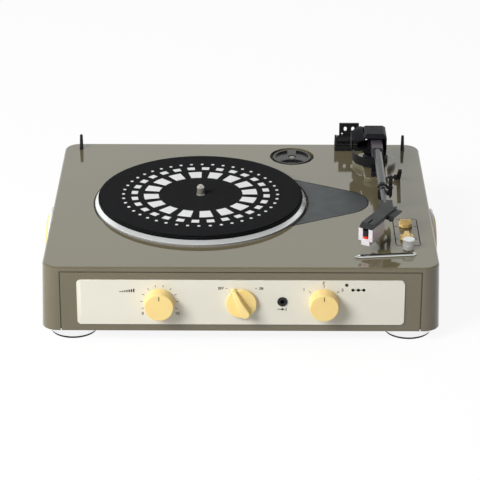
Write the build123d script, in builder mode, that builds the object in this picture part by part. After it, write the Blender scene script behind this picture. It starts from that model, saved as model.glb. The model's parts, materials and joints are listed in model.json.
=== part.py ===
from build123d import *
from math import asin, atan2, cos, degrees, radians, sin
import os

# Portable record player. Millimetres, +Z up, +X to the player's right, the front faces -Y.
# The origin lies on the floor, under the middle of the whole player.
# Heights are counted from the deck, the top face of the casing, unless a comment says otherwise.

os.makedirs("parts", exist_ok=True)

# Casing
casing_width = 357.0
casing_depth = 294.5
casing_height = 62.8
casing_flare = 2.0
corner_radius = 15.0
top_edge_radius = 2.2
wall = 3.0
cut_over = 1.0
panel_gap = 0.4
seat_gap = 0.3
running_gap = 0.05

# Feet
foot_radius = 22.0
foot_metal_height = 9.7
foot_pad_radius = 21.0
foot_pad_height = 1.8
foot_side_gap = 25.7
foot_x = casing_width / 2 - foot_side_gap
foot_end_gap = 27.75
foot_y = casing_depth / 2 - foot_end_gap
foot_edge_radius = 1.2

# Bottom cover, its bosses and screws
cover_thickness = 2.5
boss_radius = 4.2
screw_radius = 1.5
screw_head_radius = 3.4
screw_head_height = 2.0
screw_length = 12.0
boss_side_gap = 18.5
boss_x = casing_width / 2 - boss_side_gap
boss_end_gap = 54.25
boss_y = casing_depth / 2 - boss_end_gap
middle_boss_x = -36.0
middle_boss_end_gap = 17.75
middle_boss_y = casing_depth / 2 - middle_boss_end_gap
standoff_radius = 3.0
standoff_height = 6.0

# Front panel
bezel_side_gap = 15.7
bezel_width = casing_width - 2 * bezel_side_gap
bezel_top = 4.0
bezel_gap = 0.8
bezel_thickness = 3.0
bezel_lip = 1.5
bezel_lip_reach = 2.5
plate_side_gap = 15.55
plate_width = bezel_width - 2 * plate_side_gap
plate_bottom_gap = 7.0
plate_top = 11.7
plate_height = casing_height - plate_top - plate_bottom_gap
plate_thickness = 1.0
plate_corner_radius = 3.6

# Round controls on the front panel
control_drop = 2.2
control_z = -casing_height / 2 - control_drop
volume_x = -73.0
power_x = 0.6
select_x = 74.8
knob_gap = 0.5
knob_depth = 12.0
knob_radius = 13.8
knob_face_radius = 12.9
knob_edge_radius = 0.8
flute_count = 36
flute_radius = 1.0
flute_depth = 0.2
knob_stem_radius = 3.0
knob_stem_length = 13.0
knob_mark_width = 1.3
knob_mark_length = 4.6
knob_mark_depth = 0.4
knob_mark_inset = 1.6
pointer_disc_height = 3.8
pointer_tip_reach = 16.4
pointer_tip_radius = 2.7
pointer_tail_reach = 12.4
pointer_tail_radius = 4.8
pointer_angle = 28.0
pointer_taper = 4.0
pointer_slope_start = 4.0
pointer_tip_height = 6.0
pot_radius = 8.5
pot_depth = 10.0
pot_bush_radius = 4.2

# Headphone-size input socket and indicator lamp
jack_x = 37.5
jack_rise = 0.9
jack_z = control_z + jack_rise
jack_ring_radius = 4.6
jack_ring_height = 0.8
jack_bore_radius = 1.8
jack_bore_depth = 14.0
jack_thread_radius = 3.0
jack_body_side = 9.0
jack_body_depth = 12.0
lamp_x = 95.0
lamp_drop = 4.4
lamp_z = -plate_top - lamp_drop
lamp_radius = 1.6
lamp_body_radius = 2.2
lamp_depth = 5.0

# Platter well
platter_width_share = 0.2815
platter_depth_share = 0.34126
platter_radius = round(min(casing_width * platter_width_share, casing_depth * platter_depth_share), 1)
platter_side_gap = 39.1
platter_x = platter_radius + platter_side_gap - casing_width / 2
platter_y = 0.5
well_gap = 1.6
well_radius = platter_radius + well_gap
well_depth = 14.0
well_wall = 2.5

# Platter
platter_top = 4.2
platter_bevel_height = 2.9
platter_bevel_width = 3.2
platter_skirt_bottom = -8.0
platter_skirt_wall = 2.4
platter_web = 3.0
drive_ring_inset = 30.5
drive_ring_radius = platter_radius - drive_ring_inset
drive_ring_wall = 2.5
drive_ring_bottom = -9.8
hub_radius = 10.0
hub_bottom = -11.0
mat_inset = 3.1
mat_radius = platter_radius - mat_inset
mat_thickness = 2.1
mat_lip_width = 1.6
mat_lip_height = 0.6
slipmat_inset = 1.8
slipmat_radius = mat_radius - slipmat_inset
slipmat_thickness = 1.4
spindle_radius = 3.55
spindle_shaft_radius = 4.0
spindle_shoulder = 0.4
spindle_above_mat = 9.8
spindle_tip_height = 2.4
spindle_tip_radius = 1.5
spindle_bottom = -32.0
bush_radius = 7.0
bush_flange_radius = 10.5
bush_bottom = -30.0
bush_gap = 0.2

# Motor, pulley and belt
motor_offset = 14.0
motor_reach = drive_ring_radius + motor_offset
motor_angle = 225.0
motor_radius = 17.5
motor_height = 26.0
motor_collar_radius = 8.5
motor_collar_height = 2.0
motor_shaft_radius = 1.0
pulley_radius = 6.0
pulley_flange_radius = 7.4
pulley_flange_height = 0.8
pulley_bottom = -11.2
pulley_height = 7.4
belt_width = 4.0
belt_thickness = 0.8
belt_gap = 0.1
motor_window_radius = 8.7

# Tonearm, seen from above its pivot stands at arm_x, arm_y and the tube runs to the front
arm_side_gap = 46.0
arm_x = casing_width / 2 - arm_side_gap
arm_end_gap = 53.75
arm_y = casing_depth / 2 - arm_end_gap
arm_height = 26.5

# Centre adapter for large-hole records, in its own well
adapter_offset = 82.3
adapter_x = arm_x - adapter_offset
adapter_end_gap = 33.25
adapter_y = casing_depth / 2 - adapter_end_gap
adapter_well_radius = 22.0
adapter_well_depth = 6.0
adapter_well_wall = 2.0
adapter_radius = 19.1
adapter_height = 5.6
adapter_recess_depth = 1.8
adapter_recess_radius = 16.6
adapter_boss_radius = 7.6
adapter_hole_radius = 3.65
adapter_lobe_width = 9.0
adapter_lobes = 3
adapter_gap = 0.1

# Inlaid plate between the platter and the arm
inlay_offset = 40.5
inlay_x = arm_x - inlay_offset
inlay_small_radius = 29.0
inlay_inset = 11.5
inlay_large_radius = platter_radius - inlay_inset
inlay_thickness = 1.5
inlay_gap = 0.5

# Tonearm base, turret and arm
arm_base_radius = 21.4
arm_base_height = 5.0
arm_base_edge = 1.2
arm_base_offset = 1.3
lobe_width = 23.4
lobe_reach = 46.5
lobe_front = arm_y - lobe_reach
lobe_corner = 7.0
lobe_blend = 11.0
arm_stem_radius = 8.0
arm_stem_length = 10.0
turret_shaft_radius = 5.0
turret_disc_radius = 12.4
turret_disc_top = 9.0
turret_neck_radius = 10.5
turret_neck_top = 12.0
turret_flange_radius = 18.6
turret_top = 20.0
ear_width = 2.4
ear_depth = 12.0
ear_top = 31.5
lift_pin_radius = 1.5
block_width = 10.8
block_back_reach = 10.5
block_back = arm_y + block_back_reach
block_front_reach = 31.5
block_front = arm_y - block_front_reach
block_bottom = 20.6
block_heel_rise = 1.4
block_top = 30.8
block_front_top = 30.3
block_pad_bottom = 18.7
beam_width = 7.6
beam_height = 7.2
beam_chamfer = 1.9
beam_tongue = 6.0
tube_radius = 2.7
tube_overlap = 7.0

# Hood over the pivot
hood_left_reach = 24.9
hood_left = arm_x - hood_left_reach
hood_split_reach = 12.7
hood_split = arm_x - hood_split_reach
hood_right_reach = 10.1
hood_right = arm_x + hood_right_reach
hood_front_reach = 13.5
hood_front = arm_y - hood_front_reach
hood_back_reach = 18.5
hood_back = arm_y + hood_back_reach
hood_wall = 1.6
hood_left_lip = 31.4
hood_left_slope_run = 16.0
hood_left_slope_back = hood_front + hood_left_slope_run
hood_left_top = 35.6
hood_right_lip = 33.6
hood_right_slope_run = 4.0
hood_right_slope_back = hood_front + hood_right_slope_run
hood_top = 36.4
hood_chamfer = 2.8
hood_lip_edge = 0.5
hood_back_drop = 5.0
hood_corner_width = 10.8
hood_corner_depth = 18.0

# Headshell: it turns away from the tube at bend_y, by bend_angle, towards the platter
bend_end_gap = 67.65
bend_y = bend_end_gap - casing_depth / 2
bend_angle = 29.5
collar_width = 12.2
collar_height = 7.4
collar_back_reach = 19.4
collar_back = bend_y + collar_back_reach
collar_front_reach = 6.6
collar_front = bend_y + collar_front_reach
tube_end = collar_back - tube_overlap
shell_top = 29.0
shell_width = 13.0
shell_thickness = 2.2
shell_front = 39.0
shell_nose = 4.5
shell_nose_edge = 0.3
shell_root = 2.0
shell_shift = 1.0
shell_side_wall = 1.3
shell_side_drop = 3.5
shell_slot_width = 1.5
shell_slot_length = 9.5
shell_slot_front = 38.0
lift_tab_width = 6.0
lift_tab_length = 17.0
lift_tab_thickness = 1.4
lift_tab_drop = 3.0
lift_tab_back = 6.0
thumb_ball_radius = 2.6
thumb_ball_back = 9.5
thumb_ball_drop = 5.0

# Cartridge, stylus and the guard that covers them
guard_width = 14.2
guard_length = 24.0
guard_front = 43.0
guard_top = 25.2
guard_side_bottom = 12.8
guard_bottom = 8.6
guard_keel_width = 8.4
guard_wall = 1.0
guard_notch_width = 5.4
cartridge_width = 10.0
cartridge_length = 18.0
cartridge_bottom = 15.4
stylus_width = 4.6
stylus_top = 23.4
stylus_red_top = 19.6
stylus_bottom = 15.6
stylus_reach = 0.7
stylus_tip_radius = 0.5
stylus_tip_bottom = 12.2

# Arm rest and its clip
rest_reach = 55.3
rest_y = bend_y + rest_reach
beam_rest_gap = 2.8
beam_end = rest_y + beam_rest_gap
rest_depth = 4.4
rest_base_radius = 6.0
rest_base_height = 1.6
rest_post_reach = 2.5
rest_post_width = 5.4
rest_post_left = arm_x - rest_post_reach
rest_post_right = rest_post_left + rest_post_width
rest_horn_width = 1.7
rest_horn_left = rest_post_left - rest_horn_width
rest_horn_bottom = 13.8
rest_leaf_reach = 5.9
rest_leaf_left = arm_x + rest_leaf_reach
rest_leaf_thickness = 3.4
rest_leaf_right = rest_leaf_left + rest_leaf_thickness
rest_leaf_bottom = 15.0
rest_leaf_top = 39.4
rest_bridge_bottom = 18.6
rest_bridge_top = 22.8
rest_peg_radius = 2.5
clip_thickness = 1.9
clip_depth = 2.8
clip_gap = 0.7
clip_hub_radius = 2.0
clip_pin_radius = 0.9
clip_pivot_x = (rest_leaf_left + rest_leaf_right) / 2
clip_pivot_z = 27.6
clip_end_angle = 168.0

# Cue lever and the lift platform that it works
cue_side_reach = 20.9
cue_x = arm_x + cue_side_reach
cue_front_reach = 39.0
cue_y = arm_y - cue_front_reach
cue_lean = 50.0
cue_length = 20.5
cue_hub_radius = 2.6
cue_hub_width = 5.4
cue_width = 3.4
cue_tip_radius = 1.8
cue_axle_radius = 1.25
cue_axle_height = 2.9
cue_axle_depth = 6.0
lift_band_inner = 20.8
lift_band_outer = 23.0
lift_band_bottom = 6.0
lift_band_top = 14.4
lift_band_start = 172.0
lift_band_end = 292.0
lift_arm_width = 3.4
lift_arm_bottom = 6.4
lift_arm_top = 9.6
lift_post_side_reach = 3.9
lift_post_x = arm_x - lift_post_side_reach
lift_post_front_reach = 40.5
lift_post_y = arm_y - lift_post_front_reach
lift_post_radius = 2.5
lift_post_bottom = -6.0

# Cover hinge at the back
hinge_offset = 24.5
hinge_x = arm_x - hinge_offset
hinge_width = 29.0
hinge_depth = 15.6
hinge_end_gap = 3.25
hinge_back = casing_depth / 2 - hinge_end_gap
hinge_front = hinge_back - hinge_depth
hinge_slab = 5.2
hinge_axis_reach = 9.2
hinge_axis_y = hinge_back - hinge_axis_reach
hinge_axis_z = 10.0
hinge_barrel_radius = 4.4
hinge_pin_radius = 1.6
hinge_ear_width = 2.2
hinge_leaf_width = 19.8
hinge_leaf_top = 26.4
hinge_leaf_thickness = 2.4
hinge_slot_width = 3.0
hinge_slot_length = 5.0
hinge_slot_spacing = 7.6
hinge_slot_z = 20.4
hinge_dimple_radius = 1.0
hinge_dimple_z = 15.2

# Rear posts
post_side_gap = 16.5
post_x = casing_width / 2 - post_side_gap
post_end_gap = 15.25
post_y = casing_depth / 2 - post_end_gap
post_height = 15.0
post_radius = 1.95
post_tip_radius = 1.4
post_lean = 6.0
post_peg_radius = 1.6
post_peg_length = 6.0

# Deck controls on the right: two lever knobs in an engraved frame and a round metal knob
panel_side_gap = 25.5
panel_x = casing_width / 2 - panel_side_gap
panel_end_gap = 78.55
panel_y = panel_end_gap - casing_depth / 2
panel_width = 23.0
panel_length = 60.0
panel_corner = 3.0
panel_line = 0.8
panel_line_depth = 0.4
speed_x = panel_x
speed_reach = 14.0
speed_y = panel_y + speed_reach
knob_row_offset = 0.6
autostop_x = panel_x - knob_row_offset
autostop_reach = 15.0
autostop_y = panel_y - autostop_reach
lever_knob_radius = 6.2
lever_knob_height = 3.4
lever_knob_taper = 6.0
lever_bar_width = 5.0
lever_bar_length = 10.8
lever_bar_height = 2.4
lever_bar_taper = 8.0
lever_knob_gap = 0.4
deck_shaft_radius = 2.0
deck_shaft_length = 12.0
pitch_x = panel_x - knob_row_offset
pitch_reach = 36.9
pitch_y = panel_y - pitch_reach
pitch_radius = 5.2
pitch_height = 10.2
pitch_rim = 0.8
pitch_rim_reach = 0.3

# Plain metal trim near the front right corner
trim_side_gap = 47.7
trim_x = casing_width / 2 - trim_side_gap
trim_end_gap = 25.65
trim_y = trim_end_gap - casing_depth / 2
trim_length = 57.0
trim_width = 5.0
trim_height = 2.2
trim_angle = 6.6

# Loudspeakers in the side walls
speaker_y = -13.5
speaker_z = -casing_height / 2
speaker_edge_gap = 2.8
speaker_ring_radius = casing_height / 2 - speaker_edge_gap
speaker_ring_width = 3.0
speaker_ring_inner = speaker_ring_radius - speaker_ring_width
speaker_ring_height = 3.2
speaker_ring_edge = 1.2
speaker_flange_width = 1.8
speaker_sleeve_radius = speaker_ring_radius - speaker_flange_width
grille_gap = 0.2
grille_radius = speaker_ring_inner - grille_gap
grille_height = 5.9
grille_thickness = 1.2
grille_dome = 3.0
grille_flat_share = 0.72
grille_dome_shares = [(grille_flat_share, 0), (0.88, 0.33), (1, 1)]
grille_hole_radius = 1.1
grille_hole_pitch = 4.4
driver_radius = speaker_ring_inner
driver_flange = 2.0
driver_rim_width = 3.6
driver_cone_radius = driver_radius - driver_rim_width
driver_back_radius = 12.0
driver_cone_depth = 12.0
magnet_radius = 16.0
magnet_depth = 8.0

# Inside: board, and the sockets in the back wall
board_x = 20.0
board_end_gap = 51.25
board_y = casing_depth / 2 - board_end_gap
board_width = 110.0
board_depth = 50.0
board_thickness = 1.6
board_inset = 5.0
chip_height = 6.0
socket_drop = 6.6
socket_z = -casing_height / 2 - socket_drop
phono_x = -60.0
phono_spacing = 18.0
phono_radius = 4.1
phono_ring_radius = 5.2
phono_bore_radius = 1.7
phono_length = 14.0
inlet_x = 60.0
inlet_radius = 5.5
inlet_bore_radius = 2.75
inlet_pin_radius = 1.0
inlet_length = 14.0

# Places that follow from the sizes above
deck_z = foot_pad_height + foot_metal_height + casing_height
knob_reach = plate_thickness + knob_gap + knob_depth
body_y = knob_reach / 2
front_y = body_y - casing_depth / 2
back_y = body_y + casing_depth / 2
mat_top = platter_top + mat_thickness
slipmat_top = mat_top + slipmat_thickness
flare_angle = degrees(atan2(casing_flare, casing_height))
side_x = casing_width / 2 - casing_flare * speaker_z / casing_height
control_places = {"volume": volume_x, "power": power_x, "select": select_x}
foot_places = {
    "front_left": (-foot_x, -foot_y),
    "front_right": (foot_x, -foot_y),
    "rear_left": (-foot_x, foot_y),
    "rear_right": (foot_x, foot_y),
}
boss_places = [
    (-boss_x, -boss_y),
    (boss_x, -boss_y),
    (-boss_x, boss_y),
    (boss_x, boss_y),
    (middle_boss_x, -middle_boss_y),
    (middle_boss_x, middle_boss_y),
]
motor_x = platter_x + motor_reach * cos(radians(motor_angle))
motor_y = platter_y + motor_reach * sin(radians(motor_angle))


def on_deck(x=0, y=0, h=0):
    """A level plane at a place on the deck, at height h."""
    return Plane((x, body_y + y, deck_z + h))


def upright(x, y=0, h=0):
    """A plane that faces the front, through a place on the deck."""
    return Plane((x, body_y + y, deck_z + h), x_dir=(1, 0, 0), z_dir=(0, -1, 0))


def sideways(x, y=0, h=0):
    """A plane that faces +X, with its own x along +Y and its own y up."""
    return Plane((x, body_y + y, deck_z + h), x_dir=(0, 1, 0), z_dir=(1, 0, 0))


def on_front(x, z, out=0):
    """A plane on the casing's front, or in front of it by out."""
    return Plane((x, front_y - out, deck_z + z), x_dir=(1, 0, 0), z_dir=(0, -1, 0))


def on_back(x, z, out=0):
    """A plane on the casing's back, facing backwards."""
    return Plane((x, back_y + out, deck_z + z), x_dir=(-1, 0, 0), z_dir=(0, 1, 0))


def section(place):
    """The half plane through a place's normal, for outlines of radius and height."""
    return Plane(place.origin, x_dir=place.x_dir, z_dir=-place.y_dir)


def outline(plane, points):
    """The face inside a closed run of straight lines."""
    with BuildSketch(plane) as drawn:
        with BuildLine():
            Polyline(*points, close=True)
        make_face()
    return drawn.sketch


def turned(place, points):
    """A turned piece about a place's normal, from points of radius and height."""
    with BuildPart() as piece:
        revolve(outline(section(place), points), axis=Axis(place.origin, place.z_dir))
    return piece.part


def disc(place, radius, low, high):
    """A round bar about a place's normal, from low to high."""
    return turned(place, [(0, low), (radius, low), (radius, high), (0, high)])


def ring(place, inner, outer, low, high):
    """A tube about a place's normal, from low to high."""
    return turned(place, [(inner, low), (outer, low), (outer, high), (inner, high)])


def looped(plane, first, first_radius, second, second_radius):
    """The face inside a tight loop round two circles."""
    way = Vector(*second) - Vector(*first)
    across = Vector(-way.Y, way.X).normalized()
    turn = asin((first_radius - second_radius) / way.length)
    sides = [way.normalized() * sin(turn) + across * (side * cos(turn)) for side in (1, -1)]
    corners = [
        Vector(*first) + sides[0] * first_radius,
        Vector(*second) + sides[0] * second_radius,
        Vector(*second) + sides[1] * second_radius,
        Vector(*first) + sides[1] * first_radius,
    ]
    with BuildSketch(plane) as drawn:
        with BuildLine():
            Polyline(*corners, close=True)
        make_face()
        with Locations(first):
            Circle(first_radius)
        with Locations(second):
            Circle(second_radius)
    return drawn.sketch


def save(piece, label):
    """Names a finished piece and writes it."""
    piece.label = label
    export_step(piece, f"parts/{label}.step")


def inlay_face(plane, gap):
    """The drop shape that tapers from the platter to a round end, grown by gap."""
    with BuildSketch(plane) as drawn:
        add(looped(
            Plane.XY,
            (platter_x, platter_y), inlay_large_radius + gap,
            (inlay_x, platter_y), inlay_small_radius + gap,
        ))
        with Locations((platter_x, platter_y)):
            Circle(well_radius + inlay_gap - gap, mode=Mode.SUBTRACT)
    return drawn.sketch


def side_plane(side):
    """The plane of a side wall at the loudspeaker, facing outwards."""
    lean = radians(flare_angle)
    return Plane(
        (side * side_x, body_y + speaker_y, deck_z + speaker_z),
        x_dir=(0, side, 0),
        z_dir=(side * cos(lean), 0, sin(lean)),
    )


# Top casing: one moulding with the deck, the four walls, both wells and the screw bosses
cover_top = cover_thickness - casing_height
platter_place = on_deck(platter_x, platter_y)
adapter_place = on_deck(adapter_x, adapter_y)
arm_place = on_deck(arm_x, arm_y)

with BuildPart() as top_casing:
    with BuildSketch(on_deck()):
        RectangleRounded(casing_width, casing_depth, corner_radius)
    with BuildSketch(on_deck(h=-casing_height)):
        RectangleRounded(casing_width + 2 * casing_flare, casing_depth, corner_radius)
    loft(ruled=True)
    fillet(top_casing.faces().sort_by(Axis.Z)[-1].edges(), top_edge_radius)
    with BuildSketch(on_deck(h=-wall)):
        RectangleRounded(casing_width - 2 * wall, casing_depth - 2 * wall, corner_radius - wall)
    with BuildSketch(on_deck(h=-casing_height)):
        RectangleRounded(
            casing_width + 2 * casing_flare - 2 * wall, casing_depth - 2 * wall, corner_radius - wall
        )
    loft(ruled=True, mode=Mode.SUBTRACT)
    add(disc(platter_place, well_radius + well_wall, -well_depth - well_wall, -wall / 2))
    add(disc(adapter_place, adapter_well_radius + adapter_well_wall,
             -adapter_well_depth - adapter_well_wall, -wall / 2))
    for x, y in boss_places:
        add(disc(on_deck(x, y), boss_radius, cover_top, -wall / 2))
        add(disc(on_deck(x, y), screw_radius, cover_top, cover_top + screw_length), mode=Mode.SUBTRACT)
    add(disc(platter_place, well_radius, -well_depth, cut_over), mode=Mode.SUBTRACT)
    add(disc(adapter_place, adapter_well_radius, -adapter_well_depth, cut_over), mode=Mode.SUBTRACT)
    add(disc(platter_place, bush_radius + running_gap, bush_bottom, 0), mode=Mode.SUBTRACT)
    add(disc(on_deck(motor_x, motor_y), motor_window_radius, -well_depth - well_wall - cut_over, 0),
        mode=Mode.SUBTRACT)
    extrude(inlay_face(on_deck(), inlay_gap), amount=-inlay_thickness, mode=Mode.SUBTRACT)
    with BuildSketch(on_deck(panel_x, panel_y)):
        RectangleRounded(panel_width, panel_length, panel_corner)
        RectangleRounded(panel_width - 2 * panel_line, panel_length - 2 * panel_line,
                         panel_corner - panel_line, mode=Mode.SUBTRACT)
    extrude(amount=-panel_line_depth, mode=Mode.SUBTRACT)
    for x, y, hole in (
        (arm_x, arm_y, arm_stem_radius + running_gap),
        (lift_post_x, lift_post_y, lift_post_radius + seat_gap),
        (arm_x, rest_y, rest_peg_radius + running_gap),
        (speed_x, speed_y, deck_shaft_radius + running_gap),
        (autostop_x, autostop_y, deck_shaft_radius + running_gap),
        (pitch_x, pitch_y, deck_shaft_radius + running_gap),
        (-post_x, post_y, post_peg_radius + running_gap),
        (post_x, post_y, post_peg_radius + running_gap),
    ):
        add(disc(on_deck(x, y), hole, -wall - cut_over, cut_over), mode=Mode.SUBTRACT)
    with BuildSketch(on_front(0, -bezel_top, out=cut_over)):
        Rectangle(bezel_width, casing_height - bezel_top + cut_over, align=(Align.CENTER, Align.MAX))
    extrude(amount=-wall - 2 * cut_over, mode=Mode.SUBTRACT)
    for side in (-1, 1):
        add(disc(side_plane(side), speaker_sleeve_radius + panel_gap, -wall - cut_over, cut_over),
            mode=Mode.SUBTRACT)
        add(disc(on_back(-side * phono_spacing / 2 + phono_x, socket_z), phono_radius + running_gap,
                 -wall - cut_over, cut_over), mode=Mode.SUBTRACT)
    add(disc(on_back(inlet_x, socket_z), inlet_radius, -wall - cut_over, cut_over), mode=Mode.SUBTRACT)
save(top_casing.part, "top_casing")

# Front bezel: fills the front opening, with a lip behind the wall on three sides
bezel_height = casing_height - bezel_top - bezel_gap
lip_bottom = cover_top + panel_gap
lip_front = wall + panel_gap
lip_back = lip_front + bezel_lip
panel_place = on_front(0, -plate_top - plate_height / 2)
with BuildPart() as front_bezel:
    with BuildSketch(on_front(0, -bezel_top - bezel_gap)):
        Rectangle(bezel_width - 2 * bezel_gap, bezel_height, align=(Align.CENTER, Align.MAX))
    extrude(amount=-bezel_thickness)
    with BuildSketch(on_front(0, -bezel_top - bezel_gap, out=-bezel_thickness)):
        Rectangle(bezel_width - 2 * bezel_gap, -bezel_top - bezel_gap - lip_bottom,
                  align=(Align.CENTER, Align.MAX))
    extrude(amount=bezel_thickness - lip_back)
    with BuildSketch(on_front(0, -wall - panel_gap, out=-lip_front)):
        Rectangle(bezel_width + 2 * bezel_lip_reach, -wall - panel_gap - lip_bottom,
                  align=(Align.CENTER, Align.MAX))
    extrude(amount=-bezel_lip)
    for x in control_places.values():
        add(disc(on_front(x, control_z), pot_bush_radius + running_gap, -lip_back - cut_over, cut_over),
            mode=Mode.SUBTRACT)
    for x, z, hole in ((jack_x, jack_z, jack_thread_radius), (lamp_x, lamp_z, lamp_radius)):
        add(disc(on_front(x, z), hole + running_gap, -lip_back - cut_over, cut_over),
            mode=Mode.SUBTRACT)
save(front_bezel.part, "front_bezel")

# Front plate: the pale control plate on the bezel
with BuildPart() as front_plate:
    with BuildSketch(panel_place):
        RectangleRounded(plate_width, plate_height, plate_corner_radius)
    extrude(amount=plate_thickness)
    for x in control_places.values():
        add(disc(on_front(x, control_z), pot_bush_radius + running_gap, -cut_over,
                 plate_thickness + cut_over), mode=Mode.SUBTRACT)
    for x, z, hole in ((jack_x, jack_z, jack_thread_radius), (lamp_x, lamp_z, lamp_radius)):
        add(disc(on_front(x, z), hole + running_gap, -cut_over, plate_thickness + cut_over),
            mode=Mode.SUBTRACT)
save(front_plate.part, "front_plate")

# Bottom cover with standoffs for the board
with BuildPart() as bottom_cover:
    with BuildSketch(on_deck(h=-casing_height)):
        RectangleRounded(
            casing_width + 2 * casing_flare - 2 * wall - 2 * panel_gap,
            casing_depth - 2 * wall - 2 * panel_gap,
            corner_radius - wall,
        )
    extrude(amount=cover_thickness)
    for x in (-1, 1):
        for y in (-1, 1):
            place = on_deck(
                board_x + x * (board_width / 2 - board_inset), board_y + y * (board_depth / 2 - board_inset)
            )
            add(disc(place, standoff_radius, cover_top - cover_thickness / 2, cover_top + standoff_height))
    for x, y in boss_places:
        add(disc(on_deck(x, y), screw_radius, -casing_height - cut_over, cover_top), mode=Mode.SUBTRACT)
save(bottom_cover.part, "bottom_cover")

# Screws from below into the bosses
with BuildPart() as casing_screws:
    for x, y in boss_places:
        place = on_deck(x, y, -casing_height)
        add(turned(place, [
            (0, -screw_head_height),
            (screw_head_radius, -screw_head_height),
            (screw_head_radius, 0),
            (screw_radius, 0),
            (screw_radius, screw_length),
            (0, screw_length),
        ]))
save(casing_screws.part, "casing_screws")

# Inlaid plate beside the platter
with BuildPart() as teardrop_plate:
    extrude(inlay_face(on_deck(), 0), amount=-inlay_thickness)
save(teardrop_plate.part, "teardrop_plate")

# Feet: metal cups with rubber pads
for name, (x, y) in foot_places.items():
    with BuildPart() as foot:
        add(disc(on_deck(x, y, -casing_height), foot_radius, -foot_metal_height, 0))
        fillet(foot.edges().filter_by(GeomType.CIRCLE).sort_by(Axis.Z)[0], foot_edge_radius)
    save(foot.part, f"foot_{name}")

with BuildPart() as foot_pads:
    for x, y in foot_places.values():
        add(disc(on_deck(x, y, -casing_height - foot_metal_height), foot_pad_radius, -foot_pad_height, 0))
save(foot_pads.part, "foot_pads")

# Front knobs: two round ones with a mark, and a pointer knob on a low disc
knob_back = plate_thickness + knob_gap
for name in ("volume", "select"):
    place = on_front(control_places[name], control_z)
    with BuildPart() as knob:
        add(turned(place, [
            (0, knob_back),
            (knob_radius, knob_back),
            (knob_face_radius, knob_reach),
            (0, knob_reach),
        ]))
        fillet(knob.faces().sort_by(Axis.Y)[0].edges(), knob_edge_radius)
        flutes = []
        for turn in range(flute_count):
            angle = radians(360 * turn / flute_count)
            outward = place.x_dir * cos(angle) + place.y_dir * sin(angle)
            start = place.origin + place.z_dir * knob_back
            start += outward * (knob_radius + flute_radius - flute_depth)
            along = outward * (knob_face_radius - knob_radius) + place.z_dir * knob_depth
            flutes.append(Plane(start, z_dir=along))
        with Locations(*flutes):
            Cylinder(flute_radius, 2 * knob_depth + cut_over, mode=Mode.SUBTRACT)
        with BuildSketch(on_front(control_places[name], control_z, out=knob_reach)):
            with Locations((0, knob_face_radius - knob_mark_inset - knob_mark_length / 2)):
                Rectangle(knob_mark_width, knob_mark_length)
        extrude(amount=-knob_mark_depth, mode=Mode.SUBTRACT)
        add(disc(place, knob_stem_radius, knob_back - knob_stem_length, knob_back))
    save(knob.part, f"{name}_knob")

with BuildPart() as power_knob:
    place = on_front(power_x, control_z)
    add(disc(place, knob_radius, knob_back, knob_back + pointer_disc_height))
    fillet(power_knob.faces().sort_by(Axis.Y)[0].edges(), knob_edge_radius)
    lean = radians(pointer_angle)
    tip_reach = pointer_tip_reach - pointer_tip_radius
    tail_reach = pointer_tail_reach - pointer_tail_radius
    extrude(
        looped(
            on_front(power_x, control_z, out=knob_back),
            (tail_reach * sin(lean), -tail_reach * cos(lean)), pointer_tail_radius,
            (-tip_reach * sin(lean), tip_reach * cos(lean)), pointer_tip_radius,
        ),
        amount=knob_depth,
        taper=pointer_taper,
    )
    along = place.y_dir * cos(lean) - place.x_dir * sin(lean)
    extrude(
        outline(Plane(place.origin, x_dir=along, z_dir=along.cross(place.z_dir)), [
            (pointer_slope_start, knob_reach),
            (pointer_tip_reach, knob_back + pointer_tip_height),
            (knob_reach + pointer_tip_reach, knob_back + pointer_tip_height),
            (knob_reach + pointer_tip_reach, knob_reach + cut_over),
            (pointer_slope_start, knob_reach + cut_over),
        ]),
        amount=knob_radius,
        both=True,
        mode=Mode.SUBTRACT,
    )
    add(disc(place, knob_stem_radius, knob_back - knob_stem_length, knob_back))
save(power_knob.part, "power_knob")

# Rotary controls behind the panel, with a threaded neck that takes the knob's stem
pot_names = {"volume": "volume_pot", "power": "power_switch", "select": "select_switch"}
pot_front = -lip_back
for name, label in pot_names.items():
    place = on_front(control_places[name], control_z)
    with BuildPart() as pot:
        add(disc(place, pot_radius, pot_front - pot_depth, pot_front))
        add(disc(place, pot_bush_radius, pot_front, plate_thickness))
        add(disc(place, knob_stem_radius + running_gap,
                 knob_back - knob_stem_length - seat_gap, plate_thickness + cut_over), mode=Mode.SUBTRACT)
    save(pot.part, label)

# Input socket
with BuildPart() as aux_jack:
    place = on_front(jack_x, jack_z)
    add(disc(place, jack_thread_radius, pot_front, plate_thickness))
    add(disc(place, jack_ring_radius, plate_thickness, plate_thickness + jack_ring_height))
    with BuildSketch(on_front(jack_x, jack_z, out=pot_front)):
        Rectangle(jack_body_side, jack_body_side)
    extrude(amount=-jack_body_depth)
    add(disc(place, jack_bore_radius, plate_thickness + jack_ring_height - jack_bore_depth,
             plate_thickness + jack_ring_height + cut_over), mode=Mode.SUBTRACT)
save(aux_jack.part, "aux_jack")

# Indicator lamp, flush with the plate
with BuildPart() as led_lens:
    place = on_front(lamp_x, lamp_z)
    add(disc(place, lamp_radius, pot_front, plate_thickness))
    add(disc(place, lamp_body_radius, pot_front - lamp_depth, pot_front))
save(led_lens.part, "led_lens")

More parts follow.
